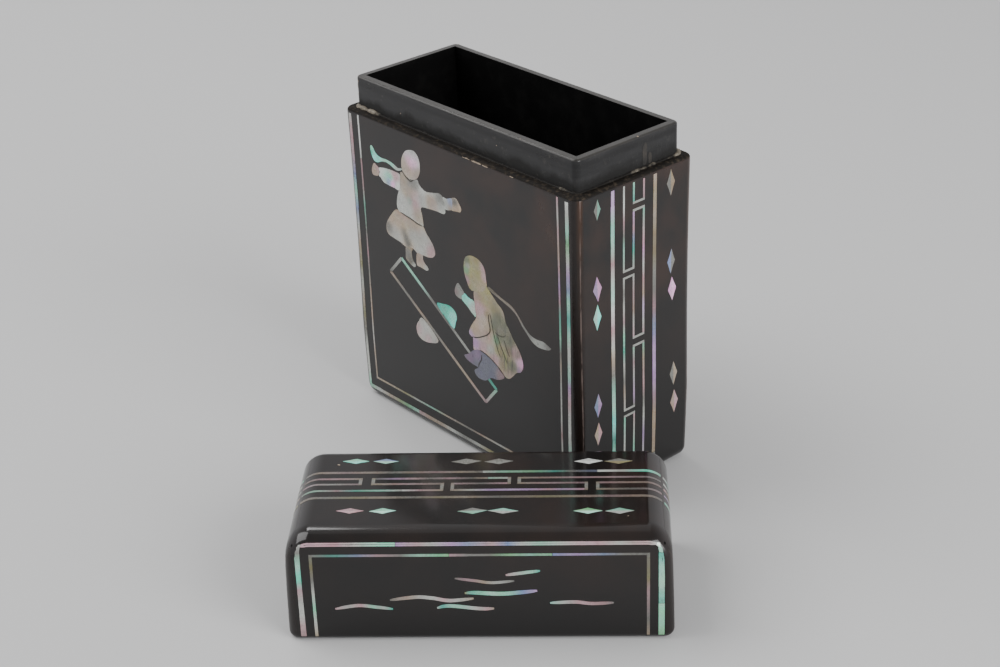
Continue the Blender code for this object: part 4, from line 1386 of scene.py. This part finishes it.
def layGlue():
    # the path runs round the seam between neck and shoulder
    hx, hy = (size / 2 / mm + glue["offset"] for size in linerSize())
    r = glue["cornerRadius"]
    path = []
    x, y = hx - r, hy - r
    for cx, cy, start in ((x, -y, -90), (x, y, 0), (-x, y, 90), (-x, -y, 180)):
        for step in range(6):
            angle = math.radians(start + 18 * step)
            path.append((cx + r * math.cos(angle), cy + r * math.sin(angle)))
    loop = []
    for (ax, ay), (bx, by) in zip(path, path[1:] + path[:1]):
        steps = max(1, int(math.dist((ax, ay), (bx, by)) / 1.0))
        loop += [(ax + (bx - ax) * k / steps, ay + (by - ay) * k / steps) for k in range(steps)]
    near = [[math.exp(-((x - lump[0]) ** 2 + (y - lump[1]) ** 2) / lump[2] ** 2) for lump in glue["lumps"]]
            for x, y in loop]
    broad = [(glue["thin"] + sum(n * lump[3] for n, lump in zip(row, glue["lumps"]))) * mm for row in near]
    # how pale the glue is; near the shoulder's back right corner this paleness is a painted highlight
    paleGlueAndHighlight = [sum(n * lump[4] for n, lump in zip(row, glue["lumps"])) for row in near]
    mesh = bpy.data.meshes.new("glueBead")
    count = len(loop)
    mesh.from_pydata([(x * mm, y * mm, glue["height"] * mm) for x, y in loop],
                     [(i, (i + 1) % count) for i in range(count)], [])
    giveAttribute(mesh, "broad", "POINT", broad)
    giveAttribute(mesh, "paleGlueAndHighlight", "POINT", paleGlueAndHighlight)
    pieces.append((runTree("glueBead", mesh, glueBead, {"Finish": oldGlue}), None, False))


layGlue()
print("wear and glue laid")

# place everything
pieces += [(bodyShell, "black_lacquer", False), (neckLiner, "worn_lacquer", False),
           (lidShell, "black_lacquer", True)]
bpy.data.objects.remove(lozengeTemplate, do_unlink=True)
for made, slotName, onLid in pieces:
    if onLid:
        made.data.transform(lidPlace)
    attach(made, "root")
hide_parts("body_shell")
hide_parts("neck_liner")
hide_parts("lid")


# floor, light and camera

def makeFloor():
    # a hair below the box, so that their faces don't fall together
    reach, level = 3.0, -0.05 * mm
    mesh = bpy.data.meshes.new("floor")
    mesh.from_pydata([(x * reach, y * reach, level) for x, y in ((-1, -1), (1, -1), (1, 1), (-1, 1))], [],
                     [(0, 1, 2, 3)])
    look = {"Base Color": (0.55, 0.55, 0.55, 1.0), "Roughness": 0.8}
    mesh.materials.append(newMaterial("paleFloor", look)[0])
    addObject("floor", mesh)


lights = {"lamps": {"left": {"place": (-0.52, -0.40, 0.86), "size": 0.78, "power": 8.5},
                    "right": {"place": (0.80, 0.05, 0.46), "size": 0.50, "power": 6.0},
                    "above": {"place": (-0.34, 0.30, 0.78), "size": 0.55, "power": 0.3},
                    "spark": {"place": (-0.492, 0.156, 0.705), "size": 0.14, "power": 0.60}},
          "aim": (0.02, -0.02, 0.03), "horizon": (0.90, 0.90, 0.92), "zenith": (0.36, 0.36, 0.36),
          "blend": (0.35, 0.9)}


def makeLights():
    for name, s in lights["lamps"].items():
        data = bpy.data.lights.new(name, "AREA")
        data.energy, data.size = s["power"], s["size"]
        lamp = addObject(name, data)
        lamp.location = s["place"]
        lamp.rotation_mode = "QUATERNION"
        lamp.rotation_quaternion = (Vector(lights["aim"]) - lamp.location).to_track_quat("-Z", "Y")
    world = bpy.data.worlds.new("softRoom")
    world.use_nodes = True
    tree = world.node_tree
    height = split(addNode(tree, "ShaderNodeTexCoord")["Generated"])["Z"]
    join(mixColour(remap(height, *lights["blend"]), (*lights["horizon"], 1.0), (*lights["zenith"], 1.0)),
         tree.nodes["Background"].inputs["Color"])
    bpy.context.scene.world = world


camera = {"place": (0.306182, -0.268787, 0.239752), "heading": (-0.75888, 0.65125), "pitch": 27.836,
          "roll": -2.1766, "lens": 68.63}


def makeCamera():
    heading = Vector(camera["heading"]).normalized()
    pitch, roll = math.radians(camera["pitch"]), math.radians(camera["roll"])
    level = Vector((heading.y, -heading.x, 0.0))
    ahead = Vector((heading.x * math.cos(pitch), heading.y * math.cos(pitch), -math.sin(pitch)))
    above = Vector((heading.x * math.sin(pitch), heading.y * math.sin(pitch), math.cos(pitch)))
    right = math.cos(roll) * level + math.sin(roll) * above
    up = math.cos(roll) * above - math.sin(roll) * level
    turn = Matrix((right, up, -ahead)).transposed()
    data = bpy.data.cameras.new("camera")
    data.lens, data.sensor_width = camera["lens"], 36.0
    eye = addObject("camera", data)
    eye.matrix_world = Matrix.Translation(camera["place"]) @ turn.to_4x4()
    bpy.context.scene.camera = eye


makeFloor()
makeLights()
makeCamera()
print("stage made")
